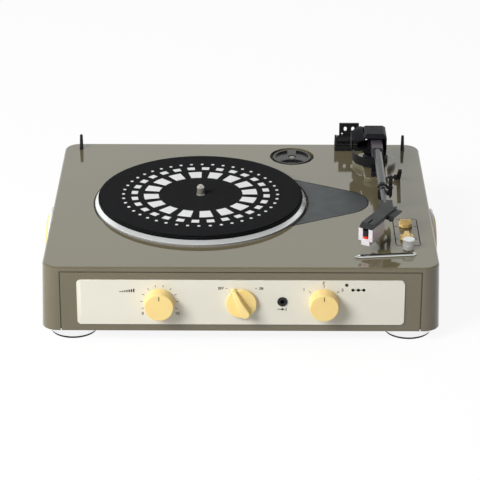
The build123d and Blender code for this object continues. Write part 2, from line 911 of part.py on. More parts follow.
# Loudspeakers: trim ring, domed grille with holes, and the driver behind
for side, name in ((-1, "left"), (1, "right")):
    place = side_plane(side)
    with BuildPart() as speaker_ring:
        add(turned(place, [
            (speaker_ring_inner, -wall),
            (speaker_sleeve_radius, -wall),
            (speaker_sleeve_radius, 0),
            (speaker_ring_radius, 0),
            (speaker_ring_radius, speaker_ring_height - speaker_ring_edge),
            (speaker_ring_radius - speaker_ring_edge, speaker_ring_height),
            (speaker_ring_inner, speaker_ring_height),
        ]))
    save(speaker_ring.part, f"{name}_speaker_ring")

    with BuildPart() as speaker_grille:
        grille_inside = grille_radius - grille_thickness
        add(turned(place, [
            (0, grille_height - grille_thickness),
            *((grille_inside * out, grille_height - grille_thickness - grille_dome * fall)
              for out, fall in grille_dome_shares),
            (grille_inside, -wall),
            (grille_radius, -wall),
            *((grille_radius * out, grille_height - grille_dome * fall)
              for out, fall in reversed(grille_dome_shares)),
            (0, grille_height),
        ]))
        with BuildSketch(side_plane(side).offset(grille_height)):
            hole_limit = grille_inside * grille_flat_share
            rows = int(hole_limit / grille_hole_pitch / sin(radians(60)))
            for row in range(-rows, rows + 1):
                up = row * grille_hole_pitch * sin(radians(60))
                for step in range(-rows - 1, rows + 2):
                    along = (step + (row % 2) / 2) * grille_hole_pitch
                    reach = Vector(along, up).length + grille_hole_radius
                    if reach < hole_limit:
                        with Locations((along, up)):
                            Circle(grille_hole_radius)
        extrude(amount=-grille_dome - grille_thickness, mode=Mode.SUBTRACT)
    save(speaker_grille.part, f"{name}_speaker_grille")

    with BuildPart() as speaker_driver:
        add(turned(place, [
            (driver_cone_radius - driver_flange, -wall),
            (driver_radius, -wall),
            (driver_radius, -wall - driver_flange),
            (driver_cone_radius, -wall - driver_flange),
            (magnet_radius, -wall - driver_cone_depth),
            (magnet_radius, -wall - driver_cone_depth - magnet_depth),
            (0, -wall - driver_cone_depth - magnet_depth),
            (0, -wall - driver_cone_depth + driver_flange),
            (driver_back_radius, -wall - driver_cone_depth + driver_flange),
        ]))
    save(speaker_driver.part, f"{name}_speaker_driver")

# Platter: a turned dish with a bevelled rim, a drive ring for the belt and a hub
with BuildPart() as platter:
    skirt_inner = platter_radius - platter_skirt_wall
    web_bottom = platter_top - platter_web
    add(turned(platter_place, [
        (spindle_shaft_radius, hub_bottom),
        (hub_radius, hub_bottom),
        (hub_radius, web_bottom),
        (drive_ring_radius - drive_ring_wall, web_bottom),
        (drive_ring_radius - drive_ring_wall, drive_ring_bottom),
        (drive_ring_radius, drive_ring_bottom),
        (drive_ring_radius, web_bottom),
        (skirt_inner, web_bottom),
        (skirt_inner, platter_skirt_bottom),
        (platter_radius, platter_skirt_bottom),
        (platter_radius, platter_top - platter_bevel_height),
        (platter_radius - platter_bevel_width, platter_top),
        (spindle_shaft_radius, platter_top),
    ]))
save(platter.part, "platter")

with BuildPart() as rubber_mat:
    add(turned(platter_place, [
        (spindle_shaft_radius + running_gap, platter_top),
        (mat_radius, platter_top),
        (mat_radius, mat_top + mat_lip_height),
        (mat_radius - mat_lip_width / 2, mat_top + mat_lip_height),
        (mat_radius - mat_lip_width, mat_top),
        (spindle_shaft_radius + running_gap, mat_top),
    ]))
save(rubber_mat.part, "rubber_mat")

with BuildPart() as slipmat:
    add(ring(platter_place, spindle_shaft_radius + running_gap, slipmat_radius, mat_top,
             slipmat_top))
save(slipmat.part, "slipmat")

with BuildPart() as spindle:
    spindle_top = slipmat_top + spindle_above_mat
    add(turned(platter_place, [
        (0, spindle_bottom),
        (spindle_shaft_radius, spindle_bottom),
        (spindle_shaft_radius, slipmat_top + spindle_shoulder),
        (spindle_radius, slipmat_top + spindle_shoulder),
        (spindle_radius, spindle_top - spindle_tip_height),
        (spindle_tip_radius, spindle_top),
        (0, spindle_top),
    ]))
save(spindle.part, "spindle")

# Bush for the spindle, seated in the well's floor
with BuildPart() as spindle_bush:
    bore = spindle_shaft_radius + running_gap
    add(turned(platter_place, [
        (bore, bush_bottom),
        (bush_radius, bush_bottom),
        (bush_radius, -well_depth),
        (bush_flange_radius, -well_depth),
        (bush_flange_radius, hub_bottom - bush_gap),
        (bore, hub_bottom - bush_gap),
    ]))
save(spindle_bush.part, "spindle_bush")

# Motor under the well's floor, its pulley, and the belt round pulley and drive ring
motor_top = -well_depth - well_wall
motor_place = on_deck(motor_x, motor_y)
with BuildPart() as motor:
    add(disc(motor_place, motor_radius, motor_top - motor_height, motor_top))
    add(disc(motor_place, motor_collar_radius, motor_top, motor_top + motor_collar_height))
    add(disc(motor_place, motor_shaft_radius + running_gap, pulley_bottom - motor_height / 2,
             motor_top + motor_collar_height + cut_over), mode=Mode.SUBTRACT)
save(motor.part, "motor")

with BuildPart() as motor_pulley:
    pulley_top = pulley_bottom + pulley_height
    add(turned(motor_place, [
        (0, pulley_bottom - motor_height / 2 + seat_gap),
        (motor_shaft_radius, pulley_bottom - motor_height / 2 + seat_gap),
        (motor_shaft_radius, pulley_bottom),
        (pulley_flange_radius, pulley_bottom),
        (pulley_flange_radius, pulley_bottom + pulley_flange_height),
        (pulley_radius, pulley_bottom + pulley_flange_height),
        (pulley_radius, pulley_top - pulley_flange_height),
        (pulley_flange_radius, pulley_top - pulley_flange_height),
        (pulley_flange_radius, pulley_top),
        (0, pulley_top),
    ]))
save(motor_pulley.part, "motor_pulley")

with BuildPart() as drive_belt:
    belt_low = pulley_bottom + (pulley_height - belt_width) / 2
    loops = [
        looped(
            on_deck(h=belt_low),
            (platter_x, platter_y), drive_ring_radius + belt_gap + grow,
            (motor_x, motor_y), pulley_radius + belt_gap + grow,
        )
        for grow in (belt_thickness, 0)
    ]
    extrude(loops[0], amount=belt_width)
    extrude(loops[1], amount=belt_width, mode=Mode.SUBTRACT)
save(drive_belt.part, "drive_belt")

# Adapter: a round piece with three raised lobes, a stepped boss and a centre hole
with BuildPart() as adapter_45:
    low = adapter_gap - adapter_well_depth
    high = low + adapter_height
    add(disc(adapter_place, adapter_radius, low, high))
    add(ring(adapter_place, adapter_boss_radius, adapter_recess_radius, high - adapter_recess_depth,
             high + cut_over), mode=Mode.SUBTRACT)
    for turn in range(adapter_lobes):
        with BuildSketch(on_deck(adapter_x, adapter_y, high - adapter_recess_depth)):
            with Locations(Rotation(0, 0, turn * 360 / adapter_lobes + 90)):
                Rectangle(adapter_recess_radius + adapter_boss_radius / 4, adapter_lobe_width,
                          align=(Align.MIN, Align.CENTER))
        extrude(amount=adapter_recess_depth)
    add(disc(adapter_place, adapter_hole_radius, low - cut_over, high + cut_over), mode=Mode.SUBTRACT)
save(adapter_45.part, "adapter_45")

# Tonearm base: a round pedestal with a rounded lobe to the front and a stem through the deck
with BuildPart() as arm_base:
    with BuildSketch(on_deck(arm_x, arm_y)) as base_face:
        with Locations((-arm_base_offset, 0)):
            Circle(arm_base_radius)
        with Locations((-arm_base_offset, -(arm_y - lobe_front) / 2)):
            Rectangle(lobe_width, arm_y - lobe_front)
        corners = base_face.vertices().group_by(Axis.Y)[0]
        fillet(corners, lobe_corner)
        fillet(
            [v for v in base_face.vertices() if -arm_base_radius < v.Y < -lobe_corner],
            lobe_blend,
        )
    extrude(amount=arm_base_height)
    fillet(arm_base.faces().sort_by(Axis.Z)[-1].edges(), arm_base_edge)
    add(disc(arm_place, arm_stem_radius, -arm_stem_length, 0))
    add(disc(arm_place, turret_shaft_radius + running_gap, -arm_stem_length - cut_over,
             arm_base_height + cut_over), mode=Mode.SUBTRACT)
    add(disc(on_deck(lift_post_x, lift_post_y), lift_post_radius + running_gap, -cut_over,
             arm_base_height + cut_over), mode=Mode.SUBTRACT)
    lobe_side = arm_x - arm_base_offset + lobe_width / 2
    add(disc(sideways(lobe_side, cue_y, cue_axle_height), cue_axle_radius + running_gap,
             -cue_axle_depth - seat_gap, cut_over), mode=Mode.SUBTRACT)
save(arm_base.part, "arm_base")

# Turret: turns on the base and carries the arm between two ears
with BuildPart() as arm_turret:
    turret_low = arm_base_height + seat_gap
    add(turned(arm_place, [
        (0, -arm_stem_length),
        (turret_shaft_radius, -arm_stem_length),
        (turret_shaft_radius, turret_low),
        (turret_disc_radius, turret_low),
        (turret_disc_radius, turret_disc_top),
        (turret_neck_radius, turret_neck_top),
        (turret_flange_radius, turret_top),
        (0, turret_top),
    ]))
    ear_inner = block_width / 2 + seat_gap
    for side in (-1, 1):
        with BuildSketch(on_deck(arm_x, arm_y, turret_top)):
            with Locations((side * (ear_inner + ear_width / 2), 0)):
                Rectangle(ear_width, ear_depth)
        extrude(amount=ear_top - turret_top)
    flange_reach = 2 * turret_flange_radius
    extrude(
        outline(on_deck(h=turret_disc_top), [
            (arm_x + block_width / 2, hood_front),
            (arm_x + block_width / 2, hood_front - flange_reach),
            (hood_right + flange_reach, hood_front - flange_reach),
            (hood_right + flange_reach, hood_back + flange_reach),
            (hood_right, hood_back + flange_reach),
            (hood_right, hood_front),
        ]),
        amount=turret_top + cut_over - turret_disc_top,
        mode=Mode.SUBTRACT,
    )
    add(disc(sideways(arm_x, arm_y, arm_height), lift_pin_radius,
             -ear_inner - ear_width - cut_over, ear_inner + ear_width + cut_over), mode=Mode.SUBTRACT)
save(arm_turret.part, "arm_turret")

with BuildPart() as lift_pin:
    add(disc(sideways(arm_x, arm_y, arm_height), lift_pin_radius,
             -ear_inner - ear_width, ear_inner + ear_width))
save(lift_pin.part, "lift_pin")

# Hood: a faceted shell in two steps over the turret, open below and in front
hood_bottom = turret_top
hood_low = hood_bottom - 2 * hood_wall
hood_inside = hood_split + hood_wall


def hood_half(left, right, lip, slope_back, top, low, across, plan, inset):
    """One half of the hood, cut by its outline across and in plan, or the hollow in it."""
    with BuildPart() as half:
        with BuildSketch(sideways(left + inset)):
            with BuildLine():
                Polyline(
                    (hood_front, low),
                    (hood_front, lip),
                    (slope_back, top),
                    (hood_back - hood_back_drop, top),
                    (hood_back, top - hood_back_drop),
                    (hood_back, low),
                    close=True,
                )
            make_face()
            offset(amount=-inset)
        extrude(amount=right - left)
        with BuildSketch(upright(0, hood_back + cut_over)):
            with BuildLine():
                Polyline(*across, close=True)
            make_face()
            offset(amount=-inset)
        extrude(amount=hood_back - hood_front + 2 * cut_over, mode=Mode.INTERSECT)
        with BuildSketch(on_deck(h=hood_low)):
            with BuildLine():
                Polyline(*plan, close=True)
            make_face()
            offset(amount=-inset)
        extrude(amount=hood_top + cut_over - hood_low, mode=Mode.INTERSECT)
    return half.part


def hood_shape(low, inset):
    """The outside of the hood, or with an inset its hollow."""
    left_half = hood_half(
        hood_left, hood_split, hood_left_lip, hood_left_slope_back, hood_left_top, low,
        [(hood_left, hood_low), (hood_left, hood_top), (hood_right, hood_top), (hood_right, hood_low)],
        [
            (hood_left, hood_front),
            (hood_right, hood_front),
            (hood_right, hood_back),
            (hood_left + hood_corner_width, hood_back),
            (hood_left, hood_back - hood_corner_depth),
        ],
        inset,
    )
    right_half = hood_half(
        hood_split, hood_right - 2 * inset, hood_right_lip, hood_right_slope_back, hood_top, low,
        [
            (hood_split, hood_low),
            (hood_split, hood_top - hood_chamfer),
            (hood_split + hood_chamfer, hood_top),
            (hood_right - hood_chamfer, hood_top),
            (hood_right, hood_top - hood_chamfer),
            (hood_right, hood_low),
        ],
        [
            (hood_split, hood_front),
            (hood_right, hood_front),
            (hood_right, hood_back),
            (hood_split, hood_back),
        ],
        inset,
    )
    with BuildPart() as both_halves:
        add(left_half)
        add(right_half)
    return both_halves.part


hood_outside = hood_shape(hood_bottom, 0)
hood_hollow = hood_shape(hood_low, hood_wall)

with BuildPart() as arm_hood:
    add(hood_outside)
    add(hood_hollow, mode=Mode.SUBTRACT)
    with BuildSketch(upright(0, hood_front)):
        with BuildLine():
            Polyline(
                (hood_left + hood_wall, hood_low),
                (hood_left + hood_wall, hood_left_lip - hood_lip_edge),
                (hood_inside, hood_left_lip - hood_lip_edge),
                (hood_inside, hood_right_lip - hood_lip_edge),
                (hood_right - hood_wall, hood_right_lip - hood_lip_edge),
                (hood_right - hood_wall, hood_low),
                close=True,
            )
        make_face()
    extrude(amount=-3 * hood_wall, mode=Mode.SUBTRACT)
save(arm_hood.part, "arm_hood")

# Arm block: swings on the lift pin and holds the beam
with BuildPart() as arm_block:
    extrude(
        outline(sideways(arm_x - block_width / 2), [
            (block_front, block_bottom),
            (block_front, block_front_top),
            (hood_front, block_top),
            (block_back, block_top),
            (block_back, block_bottom + block_heel_rise),
            (arm_y, block_bottom),
        ]),
        amount=block_width,
    )
    pad_front = arm_y - lift_band_outer - seat_gap
    pad_back = arm_y - lift_band_inner - seat_gap
    with BuildSketch(on_deck(arm_x, (pad_front + pad_back) / 2, block_pad_bottom)):
        Rectangle(block_width / 2, pad_back - pad_front)
    extrude(amount=block_bottom - block_pad_bottom)
    add(disc(sideways(arm_x, arm_y, arm_height), lift_pin_radius + running_gap,
             -block_width, block_width), mode=Mode.SUBTRACT)
    with BuildSketch(upright(arm_x, block_front, arm_height)):
        Rectangle(beam_width, beam_height)
        chamfer(vertices(), beam_chamfer)
    extrude(amount=-beam_tongue, mode=Mode.SUBTRACT)
save(arm_block.part, "arm_block")

# Arm beam: the broad rear length with bevelled edges, with a tongue in the block
with BuildPart() as arm_beam:
    with BuildSketch(upright(arm_x, block_front + beam_tongue, arm_height)):
        Rectangle(beam_width, beam_height)
        chamfer(vertices(), beam_chamfer)
    extrude(amount=block_front + beam_tongue - beam_end)
    add(disc(upright(arm_x, beam_end, arm_height), tube_radius, -beam_tongue, cut_over),
        mode=Mode.SUBTRACT)
save(arm_beam.part, "arm_beam")

# Arm tube: the slim front length
with BuildPart() as arm_tube:
    add(disc(upright(arm_x, beam_end, arm_height), tube_radius, -beam_tongue, beam_end - tube_end))
save(arm_tube.part, "arm_tube")

# Headshell: a collar on the tube, then a flat shell turned towards the platter
shell_place = Plane(
    (arm_x + shell_shift, body_y + bend_y, deck_z),
    x_dir=(cos(radians(bend_angle)), -sin(radians(bend_angle)), 0),
    z_dir=(0, 0, 1),
)


def in_shell(x, y, h):
    """A level plane in the headshell's own directions, with -y towards its nose."""
    return Plane(
        shell_place.origin + shell_place.x_dir * x + shell_place.y_dir * y + shell_place.z_dir * h,
        x_dir=shell_place.x_dir,
        z_dir=shell_place.z_dir,
    )


with BuildPart() as headshell:
    with BuildSketch(upright(arm_x + shell_shift, collar_back, shell_top - collar_height / 2)):
        Rectangle(collar_width, collar_height)
    extrude(amount=collar_back - collar_front)
    shell_low = shell_top - shell_thickness
    with BuildSketch(in_shell(0, 0, shell_low)):
        with BuildLine():
            Polyline(
                (-shell_width / 2, -shell_front),
                (shell_width / 2, -shell_front),
                (shell_width / 2, shell_root + shell_width / 2),
                (-shell_width / 2, shell_root),
                close=True,
            )
        make_face()
    extrude(amount=shell_thickness)
    with BuildSketch(on_deck(arm_x + shell_shift, (collar_front + bend_y) / 2, shell_low)):
        Rectangle(collar_width, collar_front - bend_y)
    extrude(amount=shell_thickness)
    nose = Plane(in_shell(-shell_width / 2, 0, 0).origin, x_dir=shell_place.y_dir, z_dir=shell_place.x_dir)
    extrude(
        outline(nose, [
            (-shell_front, shell_top),
            (-shell_front - shell_nose, guard_top + seat_gap + shell_nose_edge),
            (-shell_front - shell_nose, guard_top + seat_gap),
            (-shell_front, guard_top + seat_gap),
        ]),
        amount=shell_width,
    )
    for side in (-1, 1):
        middle = side * (shell_width - shell_side_wall) / 2
        with BuildSketch(in_shell(middle, -shell_front / 2, shell_top - shell_side_drop)):
            Rectangle(shell_side_wall, shell_front)
        extrude(amount=shell_side_drop - shell_thickness / 2)
    with BuildSketch(in_shell(0, -shell_slot_front + shell_slot_length / 2, shell_top)):
        SlotOverall(shell_slot_length, shell_slot_width, rotation=90)
    extrude(amount=-shell_thickness - cut_over, mode=Mode.SUBTRACT)
    tab_low = shell_top - lift_tab_drop
    with BuildSketch(in_shell(shell_width / 2 + lift_tab_width / 2, shell_root, tab_low)):
        with Locations((0, lift_tab_back - shell_root - lift_tab_length / 2)):
            RectangleRounded(lift_tab_width + shell_side_wall, lift_tab_length, shell_side_wall)
    extrude(amount=lift_tab_thickness)
    ball = in_shell(shell_width / 2 + thumb_ball_radius, -thumb_ball_back, shell_top - thumb_ball_drop)
    with Locations(ball):
        Sphere(thumb_ball_radius)
    with Locations(in_shell(shell_width / 2, -thumb_ball_back, shell_top - thumb_ball_drop)):
        Cylinder(lift_tab_thickness, 2 * thumb_ball_radius, rotation=(0, 90, 0))
    with BuildSketch(upright(arm_x, collar_back, arm_height)):
        Circle(tube_radius)
    extrude(amount=collar_back - tube_end, mode=Mode.SUBTRACT)
save(headshell.part, "headshell")

# Cartridge under the shell, stylus on its front, and the guard round both
guard_back = guard_front - guard_length
stylus_front = guard_front + stylus_reach
with BuildPart() as cartridge:
    cartridge_top = shell_low
    cartridge_middle = -(guard_front + guard_back) / 2 + (guard_length - cartridge_length) / 4
    with BuildSketch(in_shell(0, cartridge_middle, cartridge_bottom)):
        Rectangle(cartridge_width, cartridge_length)
    extrude(amount=cartridge_top - cartridge_bottom)
save(cartridge.part, "cartridge")

with BuildPart() as stylus:
    cartridge_front = cartridge_middle - cartridge_length / 2
    stylus_back = -cartridge_front
    with BuildSketch(in_shell(0, -(stylus_front + stylus_back) / 2, stylus_red_top)):
        Rectangle(stylus_width, stylus_front - stylus_back)
    extrude(amount=stylus_top - stylus_red_top)
    with BuildSketch(in_shell(0, -(stylus_front + stylus_back) / 2, stylus_bottom)):
        Rectangle(stylus_width, stylus_front - stylus_back)
    extrude(amount=stylus_red_top - stylus_bottom)
    with Locations(in_shell(0, -(stylus_front + stylus_back) / 2, (stylus_bottom + stylus_tip_bottom) / 2)):
        Cylinder(stylus_tip_radius, stylus_bottom - stylus_tip_bottom)
save(stylus.part, "stylus")

with BuildPart() as stylus_guard:
    across = Plane(
        in_shell(0, -guard_front, 0).origin, x_dir=shell_place.x_dir, z_dir=-shell_place.y_dir
    )
    half = guard_width / 2
    keel = guard_keel_width / 2
    extrude(
        outline(across, [
            (-half, guard_top),
            (-half, guard_side_bottom),
            (-keel, guard_side_bottom),
            (-keel, guard_bottom),
            (keel, guard_bottom),
            (keel, guard_side_bottom),
            (half, guard_side_bottom),
            (half, guard_top),
        ]),
        amount=-guard_length,
    )
    extrude(
        outline(across.offset(-guard_wall), [
            (-half + guard_wall, guard_top + cut_over),
            (-half + guard_wall, guard_side_bottom + guard_wall),
            (-keel + guard_wall, guard_side_bottom + guard_wall),
            (-keel + guard_wall, guard_bottom + guard_wall),
            (keel - guard_wall, guard_bottom + guard_wall),
            (keel - guard_wall, guard_side_bottom + guard_wall),
            (half - guard_wall, guard_side_bottom + guard_wall),
            (half - guard_wall, guard_top + cut_over),
        ]),
        amount=-guard_length,
        mode=Mode.SUBTRACT,
    )
    extrude(
        outline(across.offset(cut_over), [
            (-guard_notch_width / 2, guard_top + cut_over),
            (-guard_notch_width / 2, stylus_bottom - seat_gap),
            (guard_notch_width / 2, stylus_bottom - seat_gap),
            (guard_notch_width / 2, guard_top + cut_over),
        ]),
        amount=-guard_wall - 2 * cut_over,
        mode=Mode.SUBTRACT,
    )
save(stylus_guard.part, "stylus_guard")

# Arm rest: a post with a horn on the left and a tall leaf on the right of the tube
tube_low = arm_height - tube_radius
with BuildPart() as arm_rest:
    place = on_deck(arm_x, rest_y)
    add(disc(place, rest_base_radius, 0, rest_base_height))
    add(disc(place, rest_peg_radius, -wall, 0))
    rest_top = tube_low - seat_gap
    extrude(
        outline(upright(0, rest_y - rest_depth / 2), [
            (rest_post_left, rest_base_height / 2),
            (rest_post_left, rest_horn_bottom),
            (rest_horn_left, rest_horn_bottom + rest_base_height),
            (rest_horn_left, rest_top),
            (rest_post_right, rest_top),
            (rest_post_right + seat_gap, rest_bridge_top),
            (rest_leaf_left, rest_bridge_top),
            (rest_leaf_left, rest_leaf_top - rest_base_height),
            ((rest_leaf_left + rest_leaf_right) / 2, rest_leaf_top),
            (rest_leaf_right, rest_leaf_top - rest_base_height),
            (rest_leaf_right, rest_bridge_bottom),
            ((rest_leaf_left + rest_leaf_right) / 2, rest_leaf_bottom),
            (rest_leaf_left, rest_bridge_bottom),
            (rest_post_right, rest_bridge_bottom),
            (rest_post_right, rest_base_height / 2),
        ]),
        amount=-rest_depth,
    )
    add(disc(upright(clip_pivot_x, rest_y - rest_depth / 2, clip_pivot_z),
             clip_pin_radius + running_gap, -rest_depth, cut_over), mode=Mode.SUBTRACT)
save(arm_rest.part, "arm_rest")

# Rest clip: a strap that arches over the tube and turns on a pin in the leaf
with BuildPart() as rest_clip:
    clip_back = rest_y - rest_depth / 2 - seat_gap
    inner = tube_radius + clip_gap
    outer = inner + clip_thickness
    with BuildSketch(upright(arm_x, clip_back, arm_height)):
        Circle(outer)
        Circle(inner, mode=Mode.SUBTRACT)
        with BuildLine():
            Polyline(
                (2 * outer * cos(radians(clip_end_angle)), 2 * outer * sin(radians(clip_end_angle))),
                (0, 0),
                (2 * outer, 0),
                (2 * outer, -2 * outer),
                (-2 * outer, -2 * outer),
                close=True,
            )
        make_face(mode=Mode.SUBTRACT)
        with Locations((clip_pivot_x - arm_x, clip_pivot_z - arm_height)):
            Circle(clip_hub_radius)
        with BuildLine():
            Polyline(
                (inner, 0),
                (clip_pivot_x - arm_x, clip_pivot_z - arm_height - clip_hub_radius),
                (clip_pivot_x - arm_x, clip_pivot_z - arm_height + clip_hub_radius / 2),
                (outer * cos(radians(30)), outer * sin(radians(30))),
                close=True,
            )
        make_face()
        Circle(inner, mode=Mode.SUBTRACT)
    extrude(amount=clip_depth)
    add(disc(upright(clip_pivot_x, rest_y - rest_depth / 2, clip_pivot_z), clip_pin_radius,
             seat_gap - rest_depth, seat_gap))
save(rest_clip.part, "rest_clip")

# Cue lever: a leaning finger lever with a hub and an axle that runs into the base
with BuildPart() as cue_lever:
    hub_left = cue_x - cue_width / 2 - cue_hub_width / 2
    add(disc(sideways(cue_x, cue_y, cue_axle_height), cue_hub_radius, hub_left - cue_x, cue_width / 2))
    add(disc(sideways(cue_x, cue_y, cue_axle_height), cue_axle_radius,
             lobe_side - cue_axle_depth - cue_x, hub_left - cue_x))
    lean = radians(cue_lean)
    extrude(
        looped(
            sideways(cue_x - cue_width / 2, cue_y, cue_axle_height),
            (0, 0), cue_hub_radius,
            (-cue_length * sin(lean), cue_length * cos(lean)), cue_tip_radius,
        ),
        amount=cue_width,
    )
save(cue_lever.part, "cue_lever")

# Lift platform: a curved rail under the arm, carried by a post that slides in the base
with BuildPart() as lift_platform:
    with BuildSketch(on_deck(arm_x, arm_y, lift_band_bottom)):
        Circle(lift_band_outer)
        Circle(lift_band_inner, mode=Mode.SUBTRACT)
        start = radians(lift_band_start)
        end = radians(lift_band_end)
        far = 2 * lift_band_outer
        with BuildLine():
            Polyline(
                (0, 0),
                (far * cos(end), far * sin(end)),
                (far, 0),
                (far, far),
                (-far, far),
                (far * cos(start), far * sin(start)),
                close=True,
            )
        make_face(mode=Mode.SUBTRACT)
    extrude(amount=lift_band_top - lift_band_bottom)
    band_y = arm_y - (lift_band_inner + lift_band_outer) / 2
    with BuildSketch(on_deck(lift_post_x, (band_y + lift_post_y) / 2, lift_arm_bottom)):
        Rectangle(lift_arm_width, band_y - lift_post_y)
    extrude(amount=lift_arm_top - lift_arm_bottom)
    add(disc(on_deck(lift_post_x, lift_post_y), lift_post_radius, lift_post_bottom, lift_arm_top))
save(lift_platform.part, "lift_platform")

# Cover hinge: a slab with two ears, a leaf on a barrel between them, and the pin
hinge_left = hinge_x - hinge_width / 2
leaf_left = hinge_x - hinge_leaf_width / 2
barrel_left = hinge_left + hinge_ear_width + seat_gap
with BuildPart() as hinge_base:
    with BuildSketch(on_deck(hinge_x, (hinge_front + hinge_back) / 2)):
        Rectangle(hinge_width, hinge_back - hinge_front)
    extrude(amount=hinge_slab)
    for left in (hinge_left, hinge_left + hinge_width - hinge_ear_width):
        extrude(
            outline(sideways(left), [
                (hinge_axis_y - hinge_barrel_radius, 0),
                (hinge_axis_y - hinge_barrel_radius, hinge_axis_z),
                (hinge_axis_y - hinge_ear_width, hinge_axis_z + hinge_barrel_radius),
                (hinge_axis_y + hinge_ear_width, hinge_axis_z + hinge_barrel_radius),
                (hinge_axis_y + hinge_barrel_radius, hinge_axis_z),
                (hinge_axis_y + hinge_barrel_radius, 0),
            ]),
            amount=hinge_ear_width,
        )
    add(disc(sideways(hinge_x, hinge_axis_y, hinge_axis_z), hinge_barrel_radius + seat_gap,
             barrel_left - seat_gap - hinge_x, hinge_x - barrel_left + seat_gap), mode=Mode.SUBTRACT)
    add(disc(sideways(hinge_x, hinge_axis_y, hinge_axis_z), hinge_pin_radius,
             -hinge_width, hinge_width), mode=Mode.SUBTRACT)
save(hinge_base.part, "hinge_base")

with BuildPart() as hinge_leaf:
    add(disc(sideways(hinge_x, hinge_axis_y, hinge_axis_z), hinge_barrel_radius,
             barrel_left - hinge_x, hinge_x - barrel_left))
    with BuildSketch(upright(hinge_x, hinge_axis_y + hinge_barrel_radius - hinge_leaf_thickness)):
        with BuildLine():
            Polyline(
                (-hinge_leaf_width / 2, hinge_axis_z),
                (-hinge_leaf_width / 2, hinge_leaf_top),
                (hinge_leaf_width / 2, hinge_leaf_top),
                (hinge_leaf_width / 2, hinge_axis_z),
                close=True,
            )
        make_face()
        for side in (-1, 1):
            with Locations((side * hinge_slot_spacing / 2, hinge_slot_z)):
                SlotOverall(hinge_slot_length, hinge_slot_width, rotation=90, mode=Mode.SUBTRACT)
    extrude(amount=-hinge_leaf_thickness)
    add(disc(upright(leaf_left + hinge_slot_width, hinge_axis_y + hinge_barrel_radius,
                     hinge_dimple_z), hinge_dimple_radius, -hinge_leaf_thickness,
             hinge_leaf_thickness + cut_over), mode=Mode.SUBTRACT)
    add(disc(sideways(hinge_x, hinge_axis_y, hinge_axis_z), hinge_pin_radius + running_gap,
             -hinge_width, hinge_width), mode=Mode.SUBTRACT)
save(hinge_leaf.part, "hinge_leaf")

with BuildPart() as hinge_pin:
    add(disc(sideways(hinge_x, hinge_axis_y, hinge_axis_z), hinge_pin_radius,
             -hinge_width / 2, hinge_width / 2))
save(hinge_pin.part, "hinge_pin")

# Rear posts: a pair of slim tapered posts that lean back a little
with BuildPart() as rear_posts:
    for side in (-1, 1):
        place = on_deck(side * post_x, post_y)
        slant = Plane(place.origin, x_dir=(1, 0, 0),
                      z_dir=(0, sin(radians(post_lean)), cos(radians(post_lean))))
        rise = post_height / cos(radians(post_lean))
        with BuildSketch(place):
            Circle(post_radius)
        with BuildSketch(Plane(slant.origin + slant.z_dir * rise)):
            Circle(post_tip_radius)
        loft()
        add(disc(place, post_peg_radius, -post_peg_length, 0))
save(rear_posts.part, "rear_posts")

# Deck controls: two eight-sided knobs with a raised bar, and a round metal knob
for name, x, y, turn in (
    ("speed_knob", speed_x, speed_y, 0),
    ("autostop_knob", autostop_x, autostop_y, 90),
):
    with BuildPart() as lever_knob:
        with BuildSketch(on_deck(x, y, lever_knob_gap)):
            RegularPolygon(lever_knob_radius, 8, major_radius=False, rotation=360 / 16)
        extrude(amount=lever_knob_height, taper=lever_knob_taper)
        with BuildSketch(on_deck(x, y, lever_knob_gap + lever_knob_height)):
            Rectangle(lever_bar_length, lever_bar_width, rotation=turn)
        extrude(amount=lever_bar_height, taper=lever_bar_taper)
        add(disc(on_deck(x, y), deck_shaft_radius, -deck_shaft_length, lever_knob_gap))
    save(lever_knob.part, name)

with BuildPart() as pitch_knob:
    add(turned(on_deck(pitch_x, pitch_y), [
        (0, -deck_shaft_length),
        (deck_shaft_radius, -deck_shaft_length),
        (deck_shaft_radius, lever_knob_gap),
        (pitch_radius, lever_knob_gap),
        (pitch_radius, pitch_height - pitch_rim),
        (pitch_radius + pitch_rim_reach, pitch_height - pitch_rim),
        (pitch_radius + pitch_rim_reach, pitch_height),
        (0, pitch_height),
    ]))
save(pitch_knob.part, "pitch_knob")

# Trim: a plain slanted metal bar with pegs through the deck
with BuildPart() as trim_bar:
    with BuildSketch(Plane((trim_x, body_y + trim_y, deck_z)).rotated((0, 0, trim_angle))):
        with BuildLine():
            Polyline(
                (-trim_length / 2, 0),
                (-trim_length / 2 + trim_width, -trim_width / 2),
                (trim_length / 2 - trim_width / 2, -trim_width / 2),
                (trim_length / 2, 0),
                (trim_length / 2 - trim_width / 2, trim_width / 2),
                (-trim_length / 2 + trim_width, trim_width / 2),
                close=True,
            )
        make_face()
    extrude(amount=trim_height)
    chamfer(trim_bar.faces().sort_by(Axis.Z)[-1].edges(), trim_height / 3)
save(trim_bar.part, "trim_bar")

# Main board on its standoffs, with the switch bodies' plugs as blocks
board_low = cover_top + standoff_height
with BuildPart() as main_board:
    with BuildSketch(on_deck(board_x, board_y, board_low)):
        Rectangle(board_width, board_depth)
    extrude(amount=board_thickness)
    with BuildSketch(on_deck(board_x, board_y, board_low + board_thickness)):
        with GridLocations(board_width / 3, board_depth / 2, 3, 2):
            Rectangle(board_width / 8, board_depth / 5)
    extrude(amount=chip_height)
save(main_board.part, "main_board")

